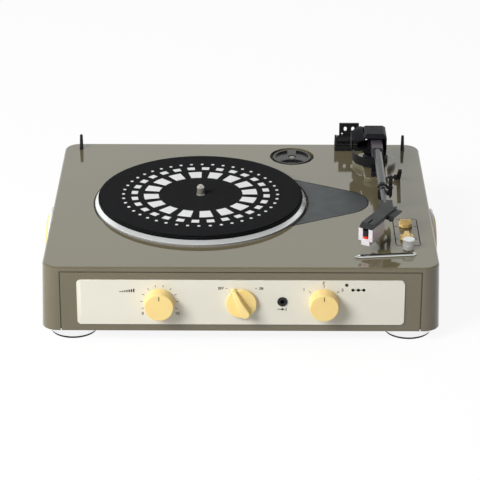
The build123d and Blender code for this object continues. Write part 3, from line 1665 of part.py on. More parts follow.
# Sockets in the back wall: a pair of phono sockets and the power inlet
with BuildPart() as rear_sockets:
    for side in (-1, 1):
        place = on_back(phono_x + side * phono_spacing / 2, socket_z)
        add(disc(place, phono_radius, -phono_length, 0))
        add(disc(place, phono_ring_radius, -phono_length / 2, -wall))
        add(disc(place, phono_bore_radius, -phono_length + wall, cut_over), mode=Mode.SUBTRACT)
    place = on_back(inlet_x, socket_z)
    add(disc(place, inlet_radius, -inlet_length, 0))
    add(ring(place, inlet_pin_radius, inlet_bore_radius, -inlet_length + wall, cut_over),
        mode=Mode.SUBTRACT)
save(rear_sockets.part, "rear_sockets")
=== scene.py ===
"""Portable record player: finishes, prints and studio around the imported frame."""
import json
from math import atan2, cos, pi, radians, sin

import bmesh
import bpy
from mathutils import Matrix, Vector, noise


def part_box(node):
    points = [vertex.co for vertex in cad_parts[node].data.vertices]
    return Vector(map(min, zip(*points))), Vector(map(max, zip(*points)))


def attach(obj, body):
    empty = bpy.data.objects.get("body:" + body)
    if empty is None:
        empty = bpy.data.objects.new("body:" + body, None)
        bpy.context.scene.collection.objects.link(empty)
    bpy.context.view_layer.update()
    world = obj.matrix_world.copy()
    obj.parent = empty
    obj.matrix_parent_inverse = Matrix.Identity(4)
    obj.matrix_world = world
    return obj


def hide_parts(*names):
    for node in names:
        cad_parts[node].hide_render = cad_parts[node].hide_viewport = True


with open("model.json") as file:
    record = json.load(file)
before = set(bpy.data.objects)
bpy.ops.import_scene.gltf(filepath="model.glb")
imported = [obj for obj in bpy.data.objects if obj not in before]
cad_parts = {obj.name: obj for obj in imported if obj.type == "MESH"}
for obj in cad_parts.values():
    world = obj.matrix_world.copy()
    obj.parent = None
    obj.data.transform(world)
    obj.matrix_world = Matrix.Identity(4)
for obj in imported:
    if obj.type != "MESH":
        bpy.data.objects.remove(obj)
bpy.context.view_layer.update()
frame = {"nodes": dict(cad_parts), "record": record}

scene = bpy.context.scene
behaviour = frame["record"]["behaviour"]
body_of = {node: body for body, nodes in behaviour["bodies"].items() for node in nodes}
slot_of = {part["node"]: part["material_slot"] for part in frame["record"]["subparts"]}
axis_of = {joint["child"]: Vector(joint["pos_m"]) for joint in behaviour["joints"] if "pos_m" in joint}

# Sizes, in metres
mm = 0.001
deck_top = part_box("top_casing")[1].z
plate_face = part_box("front_plate")[0].y
print_height = 0.04 * mm
weld_distance = 0.002 * mm
smooth_angle = radians(32)


def middle(node):
    """The middle of a CAD node's box."""
    low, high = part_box(node)
    return (low + high) / 2


# Node trees

def node(tree, kind, **values):
    """A shader node with its input values set by name."""
    made = tree.nodes.new(kind)
    for name, value in values.items():
        made.inputs[name.replace("_", " ")].default_value = value
    return made


def object_place(tree, stretch=(1, 1, 1)):
    """The piece's own coordinates, stretched."""
    place = tree.nodes.new("ShaderNodeTexCoord")
    mapping = node(tree, "ShaderNodeMapping", Scale=stretch)
    tree.links.new(place.outputs["Object"], mapping.inputs["Vector"])
    return mapping.outputs["Vector"]


def mottle(tree, scale, detail=3.0, roughness=0.5, stretch=(1, 1, 1)):
    """Soft noise from 0 to 1, with scale in features per metre."""
    made = node(tree, "ShaderNodeTexNoise", Scale=scale, Detail=detail, Roughness=roughness)
    tree.links.new(object_place(tree, stretch), made.inputs["Vector"])
    return made.outputs["Fac"]


def remap(tree, value, low, high, source=(0.3, 0.7)):
    """Value brought from the source range to low and high."""
    made = node(tree, "ShaderNodeMapRange", From_Min=source[0], From_Max=source[1], To_Min=low,
                To_Max=high)
    tree.links.new(value, made.inputs["Value"])
    return made.outputs["Result"]


def mixed(tree, factor, first, second):
    """Two colours, or a colour and a socket, mixed by factor."""
    made = tree.nodes.new("ShaderNodeMix")
    made.data_type = "RGBA"
    tree.links.new(factor, made.inputs["Factor"])
    for name, value in (("A", first), ("B", second)):
        socket = [s for s in made.inputs if s.name == name and s.type == "RGBA"][0]
        if isinstance(value, bpy.types.NodeSocket):
            tree.links.new(value, socket)
        else:
            socket.default_value = value
    return [s for s in made.outputs if s.type == "RGBA"][0]


def shade(colour, factor):
    """A colour made lighter or darker, with alpha 1."""
    return (*[min(1.0, part * factor) for part in colour[:3]], 1.0)


def edges_for_wear_and_highlight(tree, start=0.53, full=0.62):
    """1 on convex edges and 0 elsewhere."""
    geometry = tree.nodes.new("ShaderNodeNewGeometry")
    return remap(tree, geometry.outputs["Pointiness"], 0.0, 1.0, (start, full))


def times(tree, first, second):
    """The product of two values."""
    made = tree.nodes.new("ShaderNodeMath")
    made.operation = "MULTIPLY"
    for index, value in enumerate((first, second)):
        if isinstance(value, bpy.types.NodeSocket):
            tree.links.new(value, made.inputs[index])
        else:
            made.inputs[index].default_value = value
    return made.outputs["Value"]


def finish(name, colour, vary=0.05, vary_scale=30.0, roughness=(0.4, 0.5), rough_scale=90.0,
           grain_scale=2500.0, grain_depth=0.02, wear_and_highlight_share=0.3, wear_and_highlight_tone=1.5, stretch=(1, 1, 1), **sockets):
    """A material with mottled colour, uneven roughness, fine grain and lighter edges, partly wear and
    partly a painted highlight.
    """
    material = bpy.data.materials.new(name)
    material.use_nodes = True
    tree = material.node_tree
    shader = tree.nodes["Principled BSDF"]
    for socket, value in sockets.items():
        shader.inputs[socket.replace("_", " ")].default_value = value
    spread = mottle(tree, vary_scale, stretch=stretch)
    tone = mixed(tree, remap(tree, spread, 0, 1), shade(colour, 1 - vary), shade(colour, 1 + vary))
    # Convex edges made lighter in colour: partly wear, partly a painted highlight along the edges
    wear_and_highlight_mask = times(tree, edges_for_wear_and_highlight(tree), remap(tree, mottle(tree, 220), 0, wear_and_highlight_share))
    tone = mixed(tree, wear_and_highlight_mask, tone, shade(colour, wear_and_highlight_tone))
    tree.links.new(tone, shader.inputs["Base Color"])
    patch = mottle(tree, rough_scale, detail=5, stretch=stretch)
    tree.links.new(remap(tree, patch, *roughness), shader.inputs["Roughness"])
    bump = node(tree, "ShaderNodeBump", Strength=1.0, Distance=grain_depth * mm)
    tree.links.new(mottle(tree, grain_scale, detail=2, stretch=stretch), bump.inputs["Height"])
    tree.links.new(bump.outputs["Normal"], shader.inputs["Normal"])
    return material


olive = (0.145, 0.124, 0.074)


def lacquer():
    """Olive lacquer: deep gloss with a faint ripple."""
    return finish("olive_lacquer", olive, vary=0.04, vary_scale=8, roughness=(0.06, 0.10),
                  rough_scale=25, grain_scale=160, grain_depth=0.010, wear_and_highlight_share=0.25, wear_and_highlight_tone=1.3,
                  IOR=1.5, Coat_Weight=0.5, Coat_Roughness=0.03, Coat_IOR=1.5)


ring_scale = 45.0
ring_depth = 0.001 * mm


def turned_metal(name, colour, roughness):
    """Lathe-turned metal: fine rings round the platter's axis."""
    made = finish(name, colour, vary=0.02, roughness=roughness, grain_depth=0.004, wear_and_highlight_share=0,
                  Metallic=0.75)
    tree = made.node_tree
    shader = tree.nodes["Principled BSDF"]
    centre = middle("platter")
    place = tree.nodes.new("ShaderNodeTexCoord")
    moved = node(tree, "ShaderNodeMapping", Location=(-centre.x, -centre.y, 0), Scale=(1, 1, 0))
    tree.links.new(place.outputs["Object"], moved.inputs["Vector"])
    rings = node(tree, "ShaderNodeTexWave", Scale=ring_scale, Distortion=0.4, Detail=2.0)
    rings.wave_type = "RINGS"
    rings.rings_direction = "SPHERICAL"
    tree.links.new(moved.outputs["Vector"], rings.inputs["Vector"])
    bump = node(tree, "ShaderNodeBump", Strength=1.0, Distance=ring_depth)
    tree.links.new(rings.outputs["Fac"], bump.inputs["Height"])
    tree.links.new(bump.outputs["Normal"], shader.inputs["Normal"])
    return made


finishes = {
    "olive_shell": lacquer(),
    "cream_plate": finish("cream_paint", (0.78, 0.755, 0.655), vary=0.012, roughness=(0.36, 0.46),
                          grain_depth=0.01, wear_and_highlight_share=0.1, wear_and_highlight_tone=1.1),
    "knob_yellow": finish("yellow_plastic", (0.97, 0.72, 0.30), vary=0.02, roughness=(0.42, 0.52),
                          grain_depth=0.012, wear_and_highlight_share=0.3, wear_and_highlight_tone=1.08, Subsurface_Weight=0.35,
                          Subsurface_Radius=(1.0, 0.6, 0.3), Subsurface_Scale=0.004),
    "small_knob": finish("ochre_plastic", (0.94, 0.66, 0.26), vary=0.03, roughness=(0.36, 0.46),
                         grain_depth=0.01, wear_and_highlight_share=0.35, wear_and_highlight_tone=1.2),
    "rubber_black": finish("black_rubber", (0.006, 0.006, 0.0065), vary=0.25, roughness=(0.5, 0.65),
                           grain_depth=0.03, wear_and_highlight_share=0.3, wear_and_highlight_tone=2.0, Specular_IOR_Level=0.10),
    "felt_black": finish("black_felt", (0.0068, 0.0071, 0.0082), vary=0.9, vary_scale=1100,
                         roughness=(0.9, 1.0), grain_scale=2600, grain_depth=0.25, wear_and_highlight_share=0,
                         Specular_IOR_Level=0.0, Sheen_Weight=0.05, Sheen_Roughness=0.5),
    "platter_metal": turned_metal("turned_aluminium", (0.93, 0.94, 0.95), (0.26, 0.34)),
    "chrome": finish("bright_chrome", (0.90, 0.90, 0.91), vary=0.01, roughness=(0.03, 0.07),
                     rough_scale=60, grain_depth=0.0006, wear_and_highlight_share=0, Metallic=1.0),
    "steel": finish("brushed_steel", (0.56, 0.56, 0.57), vary=0.04, roughness=(0.24, 0.36),
                    stretch=(1, 12, 12), grain_depth=0.004, wear_and_highlight_share=0.2, wear_and_highlight_tone=1.3, Metallic=1.0),
    "brass": finish("turned_brass", (0.70, 0.48, 0.20), vary=0.05, roughness=(0.22, 0.34),
                    grain_depth=0.003, wear_and_highlight_share=0.2, wear_and_highlight_tone=1.2, Metallic=1.0),
    # Hood edges five times lighter: mostly a painted highlight
    "hood_grey": finish("hood_plastic", (0.0110, 0.0110, 0.0135), vary=0.12, roughness=(0.40, 0.50),
                        grain_scale=3200, grain_depth=0.012, wear_and_highlight_share=0.6, wear_and_highlight_tone=5.0,
                        Specular_IOR_Level=0.10),
    "arm_grey": finish("arm_paint", (0.038, 0.042, 0.044), vary=0.05, roughness=(0.20, 0.28),
                       grain_depth=0.006, wear_and_highlight_share=0.5, wear_and_highlight_tone=2.6),
    "shell_grey": finish("shell_plastic", (0.027, 0.028, 0.030), vary=0.08, roughness=(0.42, 0.55),
                         grain_scale=3200, grain_depth=0.02, wear_and_highlight_share=0.5, wear_and_highlight_tone=2.6,
                         Specular_IOR_Level=0.35),
    "inlay_grey": finish("inlay_gloss", (0.040, 0.046, 0.049), vary=0.05, roughness=(0.32, 0.42),
                         grain_depth=0.006, wear_and_highlight_share=0.2, wear_and_highlight_tone=1.3, Specular_IOR_Level=0.35),
    "guard_pale": finish("milky_plastic", (0.90, 0.82, 0.85), vary=0.015, roughness=(0.28, 0.36),
                         grain_depth=0.002, wear_and_highlight_share=0.2, wear_and_highlight_tone=1.1, Transmission_Weight=0.2,
                         Subsurface_Weight=0.4, Subsurface_Radius=(1.0, 0.6, 0.6),
                         Subsurface_Scale=0.002, IOR=1.4),
    # Black plastic edges four times lighter: mostly a painted highlight
    "dark_plastic": finish("black_plastic", (0.0075, 0.0075, 0.0085), vary=0.2,
                           roughness=(0.30, 0.45), grain_scale=3200, grain_depth=0.015, wear_and_highlight_share=0.5,
                           wear_and_highlight_tone=4.0, Specular_IOR_Level=0.35),
    "board_green": finish("board_varnish", (0.012, 0.11, 0.04), vary=0.15, roughness=(0.28, 0.4),
                          grain_depth=0.01, wear_and_highlight_share=0.1),
    "ring_white": finish("white_ring_paint", (0.80, 0.80, 0.78), vary=0.02, roughness=(0.22, 0.32),
                         grain_depth=0.005, wear_and_highlight_share=0.2, wear_and_highlight_tone=1.15),
    "grille_yellow": finish("yellow_grille_paint", (0.86, 0.64, 0.24), vary=0.03,
                            roughness=(0.36, 0.48), grain_depth=0.008, wear_and_highlight_share=0.3, wear_and_highlight_tone=1.2),
    "lamp_dark": finish("lamp_lens", (0.022, 0.010, 0.008), vary=0.1, roughness=(0.08, 0.14),
                        grain_depth=0.002, wear_and_highlight_share=0.2),
    "board_socket": finish("socket_plastic", (0.013, 0.013, 0.014), vary=0.15,
                           roughness=(0.38, 0.5), grain_depth=0.01, wear_and_highlight_share=0.3, wear_and_highlight_tone=2.0),
}
block_paint = finish("block_paint", (0.060, 0.050, 0.060), vary=0.06, roughness=(0.30, 0.40),
                     grain_depth=0.006, wear_and_highlight_share=0.6, wear_and_highlight_tone=2.4, Specular_IOR_Level=0.4)
spindle_metal = finish("worn_spindle", (0.72, 0.67, 0.60), vary=0.05, roughness=(0.24, 0.36),
                       grain_depth=0.004, wear_and_highlight_share=0.4, wear_and_highlight_tone=1.3, Metallic=0.8)
black_ink = finish("black_ink", (0.018, 0.017, 0.016), vary=0.1, vary_scale=900,
                   roughness=(0.5, 0.65), grain_depth=0.003, wear_and_highlight_share=0, Specular_IOR_Level=0.1)
olive_ink = finish("olive_ink", (0.055, 0.048, 0.034), vary=0.1, vary_scale=900,
                   roughness=(0.3, 0.45), grain_depth=0.003, wear_and_highlight_share=0)
brown_ink = finish("brown_ink", (0.12, 0.065, 0.03), vary=0.1, vary_scale=900,
                   roughness=(0.5, 0.65), grain_depth=0.003, wear_and_highlight_share=0)
white_ink = finish("white_flock_print", (0.80, 0.80, 0.80), vary=0.06, vary_scale=1600,
                   roughness=(0.75, 0.9), grain_scale=2600, grain_depth=0.10, wear_and_highlight_share=0,
                   Specular_IOR_Level=0.1)


def two_tone(name, lower, upper, height):
    """A plastic that changes colour at a height."""
    made = finish(name, lower, vary=0.05, roughness=(0.25, 0.35), grain_depth=0.004, wear_and_highlight_share=0.3,
                  wear_and_highlight_tone=1.4)
    tree = made.node_tree
    shader = tree.nodes["Principled BSDF"]
    parts = tree.nodes.new("ShaderNodeSeparateXYZ")
    tree.links.new(object_place(tree), parts.inputs["Vector"])
    above = remap(tree, parts.outputs["Z"], 0, 1, (height, height + print_height))
    tone = mixed(tree, above, shader.inputs["Base Color"].links[0].from_socket, (*upper, 1))
    tree.links.new(tone, shader.inputs["Base Color"])
    return made


stylus_low, stylus_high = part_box("stylus")
red_share = 0.51
stylus_split = stylus_low.z + red_share * (stylus_high.z - stylus_low.z)
own_finish = {
    "pitch_knob": finish("satin_chrome", (0.82, 0.82, 0.82), vary=0.02, roughness=(0.22, 0.30),
                         grain_depth=0.001, wear_and_highlight_share=0.2, wear_and_highlight_tone=1.2, Metallic=0.65),
    "arm_block": block_paint,
    "spindle": spindle_metal,
    # Adapter edges six times lighter: mostly a painted highlight
    "adapter_45": finish("gloss_plastic", (0.008, 0.008, 0.008), vary=0.1, roughness=(0.22, 0.32),
                         grain_depth=0.002, wear_and_highlight_share=0.6, wear_and_highlight_tone=6.0),
    "stylus": two_tone("stylus_plastic", (0.80, 0.035, 0.012), (0.010, 0.010, 0.011), stylus_split),
}


# Dressed pieces

def ready(piece, material, body, slot=None, *nodes):
    """Gives a piece its finish and its body and hides the nodes it stands for; slot is not used."""
    piece.data.materials.clear()
    piece.data.materials.append(material)
    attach(piece, body)
    if nodes:
        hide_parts(*nodes)
    return piece


def from_bmesh(name, shape):
    """A new object from a bmesh, which is freed."""
    mesh = bpy.data.meshes.new(name)
    shape.to_mesh(mesh)
    shape.free()
    piece = bpy.data.objects.new(name, mesh)
    scene.collection.objects.link(piece)
    return piece


bevel_segments = 2
normal_weight = 80
flat_limit = radians(0.4)


def soften(piece, edge):
    """Rounds the sharp edges and smooths the rest."""
    for face in piece.data.polygons:
        face.use_smooth = True
    if edge:
        bevel = piece.modifiers.new("edges", "BEVEL")
        bevel.width = edge * mm
        bevel.segments = bevel_segments
        bevel.limit_method = "ANGLE"
        bevel.angle_limit = smooth_angle
        bevel.use_clamp_overlap = False
    even = piece.modifiers.new("even_normals", "WEIGHTED_NORMAL")
    even.keep_sharp = True
    even.weight = normal_weight


def welded(node_name, joined=True):
    """A bmesh of a CAD node with its seams closed and, if asked, its flat faces joined."""
    shape = bmesh.new()
    shape.from_mesh(frame["nodes"][node_name].data)
    bmesh.ops.remove_doubles(shape, verts=shape.verts, dist=weld_distance)
    if joined:
        bmesh.ops.dissolve_limit(shape, angle_limit=flat_limit, verts=shape.verts, edges=shape.edges)
    return shape


def dress(node_name, edge, material=None):
    """A finished copy of a CAD node: same shape, with rounded edges and its own finish."""
    piece = from_bmesh(f"{node_name}_finished", welded(node_name, node_name not in pierced))
    if not edge:
        piece.data.set_sharp_from_angle(angle=smooth_angle)
    soften(piece, edge)
    slot = slot_of[node_name]
    return ready(piece, material or finishes[slot], body_of[node_name], slot, node_name)


# Flat faces with holes stay as they are cut
pierced = ("front_plate",)
edge_sizes = {
    "top_casing": 0.15, "front_bezel": 0.25, "front_plate": 0.0, "teardrop_plate": 0.08,
    "volume_knob": 0.07, "select_knob": 0.07, "power_knob": 0.7, "aux_jack": 0.3, "led_lens": 0.0,
    "left_speaker_ring": 0.4, "right_speaker_ring": 0.4, "platter": 0.3, "rubber_mat": 0.3,
    "spindle": 0.25, "adapter_45": 0.5, "arm_base": 0.3, "arm_turret": 0.5, "arm_hood": 0.8,
    "arm_block": 0.5, "arm_beam": 0.6, "arm_tube": 0.25, "headshell": 0.4, "cartridge": 0.3,
    "stylus": 0.2, "stylus_guard": 0.4, "lift_pin": 0.2, "arm_rest": 0.4, "rest_clip": 0.3,
    "cue_lever": 0.4, "lift_platform": 0.4, "hinge_base": 0.4, "hinge_leaf": 0.12, "hinge_pin": 0.2,
    "rear_posts": 0.5, "speed_knob": 0.35, "autostop_knob": 0.35, "pitch_knob": 0.35,
    "trim_bar": 0.4, "rear_sockets": 0.3, "bottom_cover": 0.4, "casing_screws": 0.2,
    "foot_front_left": 0.0, "foot_front_right": 0.0, "foot_rear_left": 0.0, "foot_rear_right": 0.0,
    "foot_pads": 0.4,
}
for name, edge in edge_sizes.items():
    dress(name, edge, material=own_finish.get(name))

# What lies inside keeps its CAD shape and gets its finish
for name, part in frame["nodes"].items():
    if name not in edge_sizes and name != "slipmat":
        part.data.materials.clear()
        part.data.materials.append(finishes[slot_of[name]])


# Felt slipmat

felt_rings = 44
felt_sides = 220
felt_edge = 0.35 * mm
felt_bow = 0.10 * mm
# Scale in features per metre and height of the uneven nap
felt_waves = ((160, 0.6 * felt_bow), (700, 0.4 * felt_bow))
round_steps = 4


def turned_shape(profile, centre, sides, closed, waves=()):
    """A bmesh turned from radii and heights, with waves on all but its lowest points."""
    lowest = min(height for _, height in profile)
    shape = bmesh.new()
    loops = []
    for radius, height in profile:
        loop = []
        for side in range(sides):
            angle = 2 * pi * side / sides
            place = Vector((radius * cos(angle), radius * sin(angle), height))
            if height > lowest:
                place.z += sum(size * noise.noise(place * scale) for scale, size in waves)
            loop.append(shape.verts.new(place + Vector((centre.x, centre.y, 0))))
        loops.append(loop)
    for first, second in zip(loops, loops[1:] + (loops[:1] if closed else [])):
        for side in range(sides):
            after = (side + 1) % sides
            shape.faces.new((first[side], first[after], second[after], second[side]))
    if not closed:
        shape.faces.new(loops[0][::-1])
        shape.faces.new(loops[-1])
    bmesh.ops.recalc_face_normals(shape, faces=shape.faces)
    return shape


def inner_radius(node_name, centre):
    """The distance from a centre to a CAD node's nearest vertex, seen from above."""
    return min(Vector((v.co.x - centre.x, v.co.y - centre.y)).length
               for v in frame["nodes"][node_name].data.vertices)


def felt_mat():
    """A felt disc with a rounded, slightly uneven edge and a nap on its top."""
    low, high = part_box("slipmat")
    centre = (low + high) / 2
    outer = (high.x - low.x) / 2
    inner = inner_radius("slipmat", centre)
    profile = [(inner, low.z), (inner, high.z - felt_bow)]
    for step in range(1, felt_rings):
        profile.append((inner + (outer - felt_edge - inner) * step / felt_rings, high.z - felt_bow))
    for step in range(round_steps + 1):
        turn = pi / 2 * step / round_steps
        profile.append((outer - felt_edge + felt_edge * sin(turn), high.z - felt_bow
                        - felt_edge * (1 - cos(turn))))
    profile.append((outer, low.z))
    piece = from_bmesh("felt_slipmat", turned_shape(profile, centre, felt_sides, True, felt_waves))
    for face in piece.data.polygons:
        face.use_smooth = True
    return ready(piece, finishes["felt_black"], "platter", "felt_black", "slipmat")


felt_mat()


# Centring peg of the adapter's well

peg_share = 0.86
peg_edge = 0.6 * mm
peg_drop = 0.4 * mm
peg_sides = 48


def centring_peg():
    """A round peg with a rounded top that stands in the adapter's hole."""
    low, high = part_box("adapter_45")
    centre = (low + high) / 2
    radius = peg_share * inner_radius("adapter_45", centre)
    top = high.z - peg_drop
    profile = [(radius, low.z)]
    for step in range(round_steps + 1):
        turn = pi / 2 * step / round_steps
        profile.append((radius - peg_edge * (1 - cos(turn)), top - peg_edge * (1 - sin(turn))))
    piece = from_bmesh("adapter_peg", turned_shape(profile, centre, peg_sides, False))
    piece.data.set_sharp_from_angle(angle=smooth_angle)
    soften(piece, 0)
    return ready(piece, finishes["olive_shell"], "casing")


centring_peg()


# Prints: thin raised ink on a plane

def print_sheet(name, outlines, place, material, body, height=print_height):
    """Thin solids over flat outlines, on a plane given by a matrix whose Z points outwards."""
    shape = bmesh.new()
    for points in outlines:
        rims = [[shape.verts.new(place @ Vector((x, y, up))) for x, y in points]
                for up in (0, height)]
        shape.faces.new(rims[0][::-1])
        shape.faces.new(rims[1])
        for index in range(len(points)):
            after = (index + 1) % len(points)
            shape.faces.new((rims[0][index], rims[0][after], rims[1][after], rims[1][index]))
    bmesh.ops.recalc_face_normals(shape, faces=shape.faces)
    return ready(from_bmesh(name, shape), material, body)


def bar(x, y, width, height, angle=0.0):
    """The outline of a bar about its middle, turned by angle."""
    corners = [(-width / 2, -height / 2), (width / 2, -height / 2), (width / 2, height / 2),
               (-width / 2, height / 2)]
    return [(x + a * cos(angle) - b * sin(angle), y + a * sin(angle) + b * cos(angle))
            for a, b in corners]


def dot(x, y, radius, sides=20):
    """The outline of a round dot."""
    return [(x + radius * cos(2 * pi * k / sides), y + radius * sin(2 * pi * k / sides))
            for k in range(sides)]


def sector(inner, outer, start, end, steps):
    """The outline of a block between two radii and two angles about the origin."""
    angles = [start + (end - start) * step / steps for step in range(steps + 1)]
    return ([(inner * cos(a), inner * sin(a)) for a in angles]
            + [(outer * cos(a), outer * sin(a)) for a in reversed(angles)])


def tick(x, y, radius, length, width, angle):
    """A short radial line about a point, with angle 0 straight up and positive to the right."""
    reach = radius + length / 2
    return bar(x + reach * sin(angle), y + reach * cos(angle), width, length, -angle)


front_place = Matrix.Translation((0, plate_face, 0)) @ Matrix.Rotation(radians(90), 4, "X")
deck_place = Matrix.Translation((0, 0, deck_top))


def line(x, y, to_x, to_y, width):
    """The outline of a stroke between two points, with square ends."""
    way = Vector((to_x - x, to_y - y))
    return bar((x + to_x) / 2, (y + to_y) / 2, way.length + width, width, atan2(way.y, way.x))


# Strokes of plain figures and letters, in shares of the glyph's width and height
strokes = {
    "0": ((0, 0, 0, 1), (1, 0, 1, 1), (0, 0, 1, 0), (0, 1, 1, 1)),
    "1": ((0.5, 0, 0.5, 1), (0.1, 0.75, 0.5, 1)),
    "2": ((0, 1, 1, 1), (1, 0.5, 1, 1), (0, 0.5, 1, 0.5), (0, 0, 0, 0.5), (0, 0, 1, 0)),
    "3": ((0, 1, 1, 1), (1, 0, 1, 1), (0.2, 0.5, 1, 0.5), (0, 0, 1, 0)),
    "4": ((0, 0.42, 0, 1), (0, 0.42, 1, 0.42), (1, 0, 1, 1)),
    "5": ((0, 1, 1, 1), (0, 0.5, 0, 1), (0, 0.5, 1, 0.5), (1, 0, 1, 0.5), (0, 0, 1, 0)),
    "F": ((0, 0, 0, 1), (0, 1, 1, 1), (0, 0.5, 0.8, 0.5)),
    "N": ((0, 0, 0, 1), (1, 0, 1, 1), (0, 1, 1, 0)),
    "O": ((0, 0, 0, 1), (1, 0, 1, 1), (0, 0, 1, 0), (0, 1, 1, 1)),
}
glyph_width = 0.50
glyph_pitch = 0.86
stroke_width = 0.22


def word(text, x, y, size):
    """The outlines of plain lettering about a middle, with size the height."""
    outlines = []
    left = x - (glyph_pitch * (len(text) - 1) + glyph_width) * size / 2
    for index, glyph in enumerate(text):
        start = left + glyph_pitch * size * index
        for x_1, y_1, x_2, y_2 in strokes[glyph]:
            outlines.append(line(start + glyph_width * size * x_1, y + size * (y_1 - 0.5),
                                 start + glyph_width * size * x_2, y + size * (y_2 - 0.5),
                                 stroke_width * size))
    return outlines


# Prints on the front plate
volume, power, select = (axis_of[name] for name in ("volume", "power", "select"))
jack = middle("aux_jack")
mark_radius = 15.2 * mm
mark_length = 2.2 * mm
mark_width = 0.55 * mm
# Angles of the ticks in degrees from straight up
volume_ticks = [-112.5 + 25 * step for step in range(10)]
select_ticks = (-50, 0, 50)
front_marks = []
for axis, angles in ((volume, volume_ticks), (select, select_ticks)):
    for angle in angles:
        front_marks.append(tick(axis.x, axis.z, mark_radius, mark_length, mark_width, radians(angle)))
switch_reach = 13.2 * mm
switch_rise = 13.9 * mm
switch_bar = (1.7 * mm, 0.5 * mm)
for side in (-1, 1):
    front_marks.append(bar(power.x + side * switch_reach, power.z + switch_rise, *switch_bar))
# Rising bars stand for loudness
loud_x, loud_low = volume.x - 35.2 * mm, volume.z + 9.9 * mm
loud_count = 7
loud_pitch = 2.05 * mm
loud_width = 1.25 * mm
loud_short = 0.9 * mm
loud_growth = 0.42 * mm
for step in range(loud_count):
    tall = loud_short + loud_growth * step
    front_marks.append(bar(loud_x + loud_pitch * step, loud_low + tall / 2, loud_width, tall))
# Three linked dots stand for the choice of source
source_x, source_z = select.x + 30.7 * mm, select.z + 12.6 * mm
source_pitch = 4.9 * mm
source_dot = 1.5 * mm
symbol_line = 0.6 * mm
for step in (-1, 0, 1):
    front_marks.append(dot(source_x + source_pitch * step, source_z, source_dot))
front_marks.append(bar(source_x, source_z, 2 * source_pitch, symbol_line))
# An arrow into a bar stands for the input
input_z = jack.z - 7.6 * mm
input_back, input_tip, input_end = jack.x - 4.4 * mm, jack.x + 2.2 * mm, jack.x + 3.4 * mm
head_length, head_half = 2.8 * mm, 1.3 * mm
stop_width, stop_height = 0.7 * mm, 2 * head_half + 0.4 * mm
front_marks.append(bar((input_back + input_tip) / 2, input_z, input_tip - input_back, symbol_line))
front_marks.append([(input_tip - head_length, input_z - head_half), (input_tip, input_z),
                    (input_tip - head_length, input_z + head_half)])
front_marks.append(bar(input_end, input_z, stop_width, stop_height))

# Numbers and switch words: text, axis they stand by, reach to the right, rise and height in mm
front_words = (
    ("0", volume, -15.2, -11.3, 2.2), ("10", volume, 16.0, -11.2, 2.2),
    ("OFF", power, -18.2, 14.0, 2.1), ("ON", power, 18.0, 14.0, 2.1),
    ("1", select, -18.0, 12.9, 2.2), ("2", select, -0.5, 19.6, 2.2), ("3", select, 16.4, 12.7, 2.2),
)
for text, axis, reach, rise, size in front_words:
    front_marks += word(text, axis.x + reach * mm, axis.z + rise * mm, size * mm)
print_sheet("front_marks", front_marks, front_place, black_ink, "casing")

# Marks on the knobs
mark_depth = 0.4 * mm
mark_rise = 9.0 * mm
knob_mark = (0.8 * mm, 4.3 * mm)
for name in ("volume", "select"):
    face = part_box(f"{name}_knob")[0].y
    place = Matrix.Translation((0, face + mark_depth, 0)) @ Matrix.Rotation(radians(90), 4, "X")
    axis = axis_of[name]
    print_sheet(f"{name}_knob_mark", [bar(axis.x, axis.z + mark_rise, *knob_mark)],
                place, brown_ink, name)

# Prints beside the deck knobs, and the line round them
speed, autostop = axis_of["speed"], axis_of["autostop"]
frame_width = 23 * mm
frame_length = 60 * mm
frame_corner = 5 * mm
line_width = 0.8 * mm
line_drop = 0.38 * mm
line_play = 0.04 * mm
line_height = 0.3 * mm
panel_x = speed.x
panel_y = speed.y - 14.0 * mm


def rounded_rim(x, y, width, length, corner, thickness, steps=8):
    """Blocks that together follow a rounded frame line."""
    rims = []
    for inset in (0, thickness):
        rim = []
        for turn, (side_x, side_y) in enumerate(((1, 1), (-1, 1), (-1, -1), (1, -1))):
            for step in range(steps + 1):
                angle = pi / 2 * (turn + step / steps)
                rim.append((x + side_x * (width / 2 - corner) + (corner - inset) * cos(angle),
                            y + side_y * (length / 2 - corner) + (corner - inset) * sin(angle)))
        rims.append(rim)
    count = len(rims[0])
    return [[rims[0][k], rims[0][(k + 1) % count], rims[1][(k + 1) % count], rims[1][k]]
            for k in range(count)]


groove_place = Matrix.Translation((0, 0, deck_top - line_drop))
rim_blocks = rounded_rim(panel_x, panel_y, frame_width - line_play, frame_length - line_play,
                         frame_corner, line_width - 2 * line_play)
print_sheet("panel_line", rim_blocks, groove_place, black_ink, "casing", height=line_height)

# Text, axis it stands by, reach to the right, distance to the back and height in mm
deck_words = (
    ("33", speed, -9.0, -1.0, 1.8), ("45", speed, 9.0, -1.0, 1.8),
    ("ON", autostop, 8.9, 0, 1.5), ("OFF", autostop, -8.9, 0, 1.4),
)
deck_marks = []
for text, axis, reach, rise, size in deck_words:
    deck_marks += word(text, axis.x + reach * mm, axis.y + rise * mm, size * mm)
print_sheet("deck_marks", deck_marks, deck_place, olive_ink, "casing")

# A black line painted round the inlay, over the gap between it and the casing: painted shade of the gap
inlay = welded("teardrop_plate", joined=False)
inlay.normal_update()
inlay_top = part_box("teardrop_plate")[1].z
inlay_shade_line = 0.9 * mm
level_share = 0.9999
inlay_shade_strokes = []
for edge in inlay.edges:
    ends = [end.co for end in edge.verts]
    tops = [face.normal.z > level_share for face in edge.link_faces]
    if min(end.z for end in ends) > inlay_top - weld_distance and tops.count(True) == 1:
        inlay_shade_strokes.append(line(ends[0].x, ends[0].y, ends[1].x, ends[1].y, inlay_shade_line))
inlay.free()
print_sheet("inlay_shade_line", inlay_shade_strokes, Matrix.Translation((0, 0, max(inlay_top, deck_top))), black_ink,
            "casing")

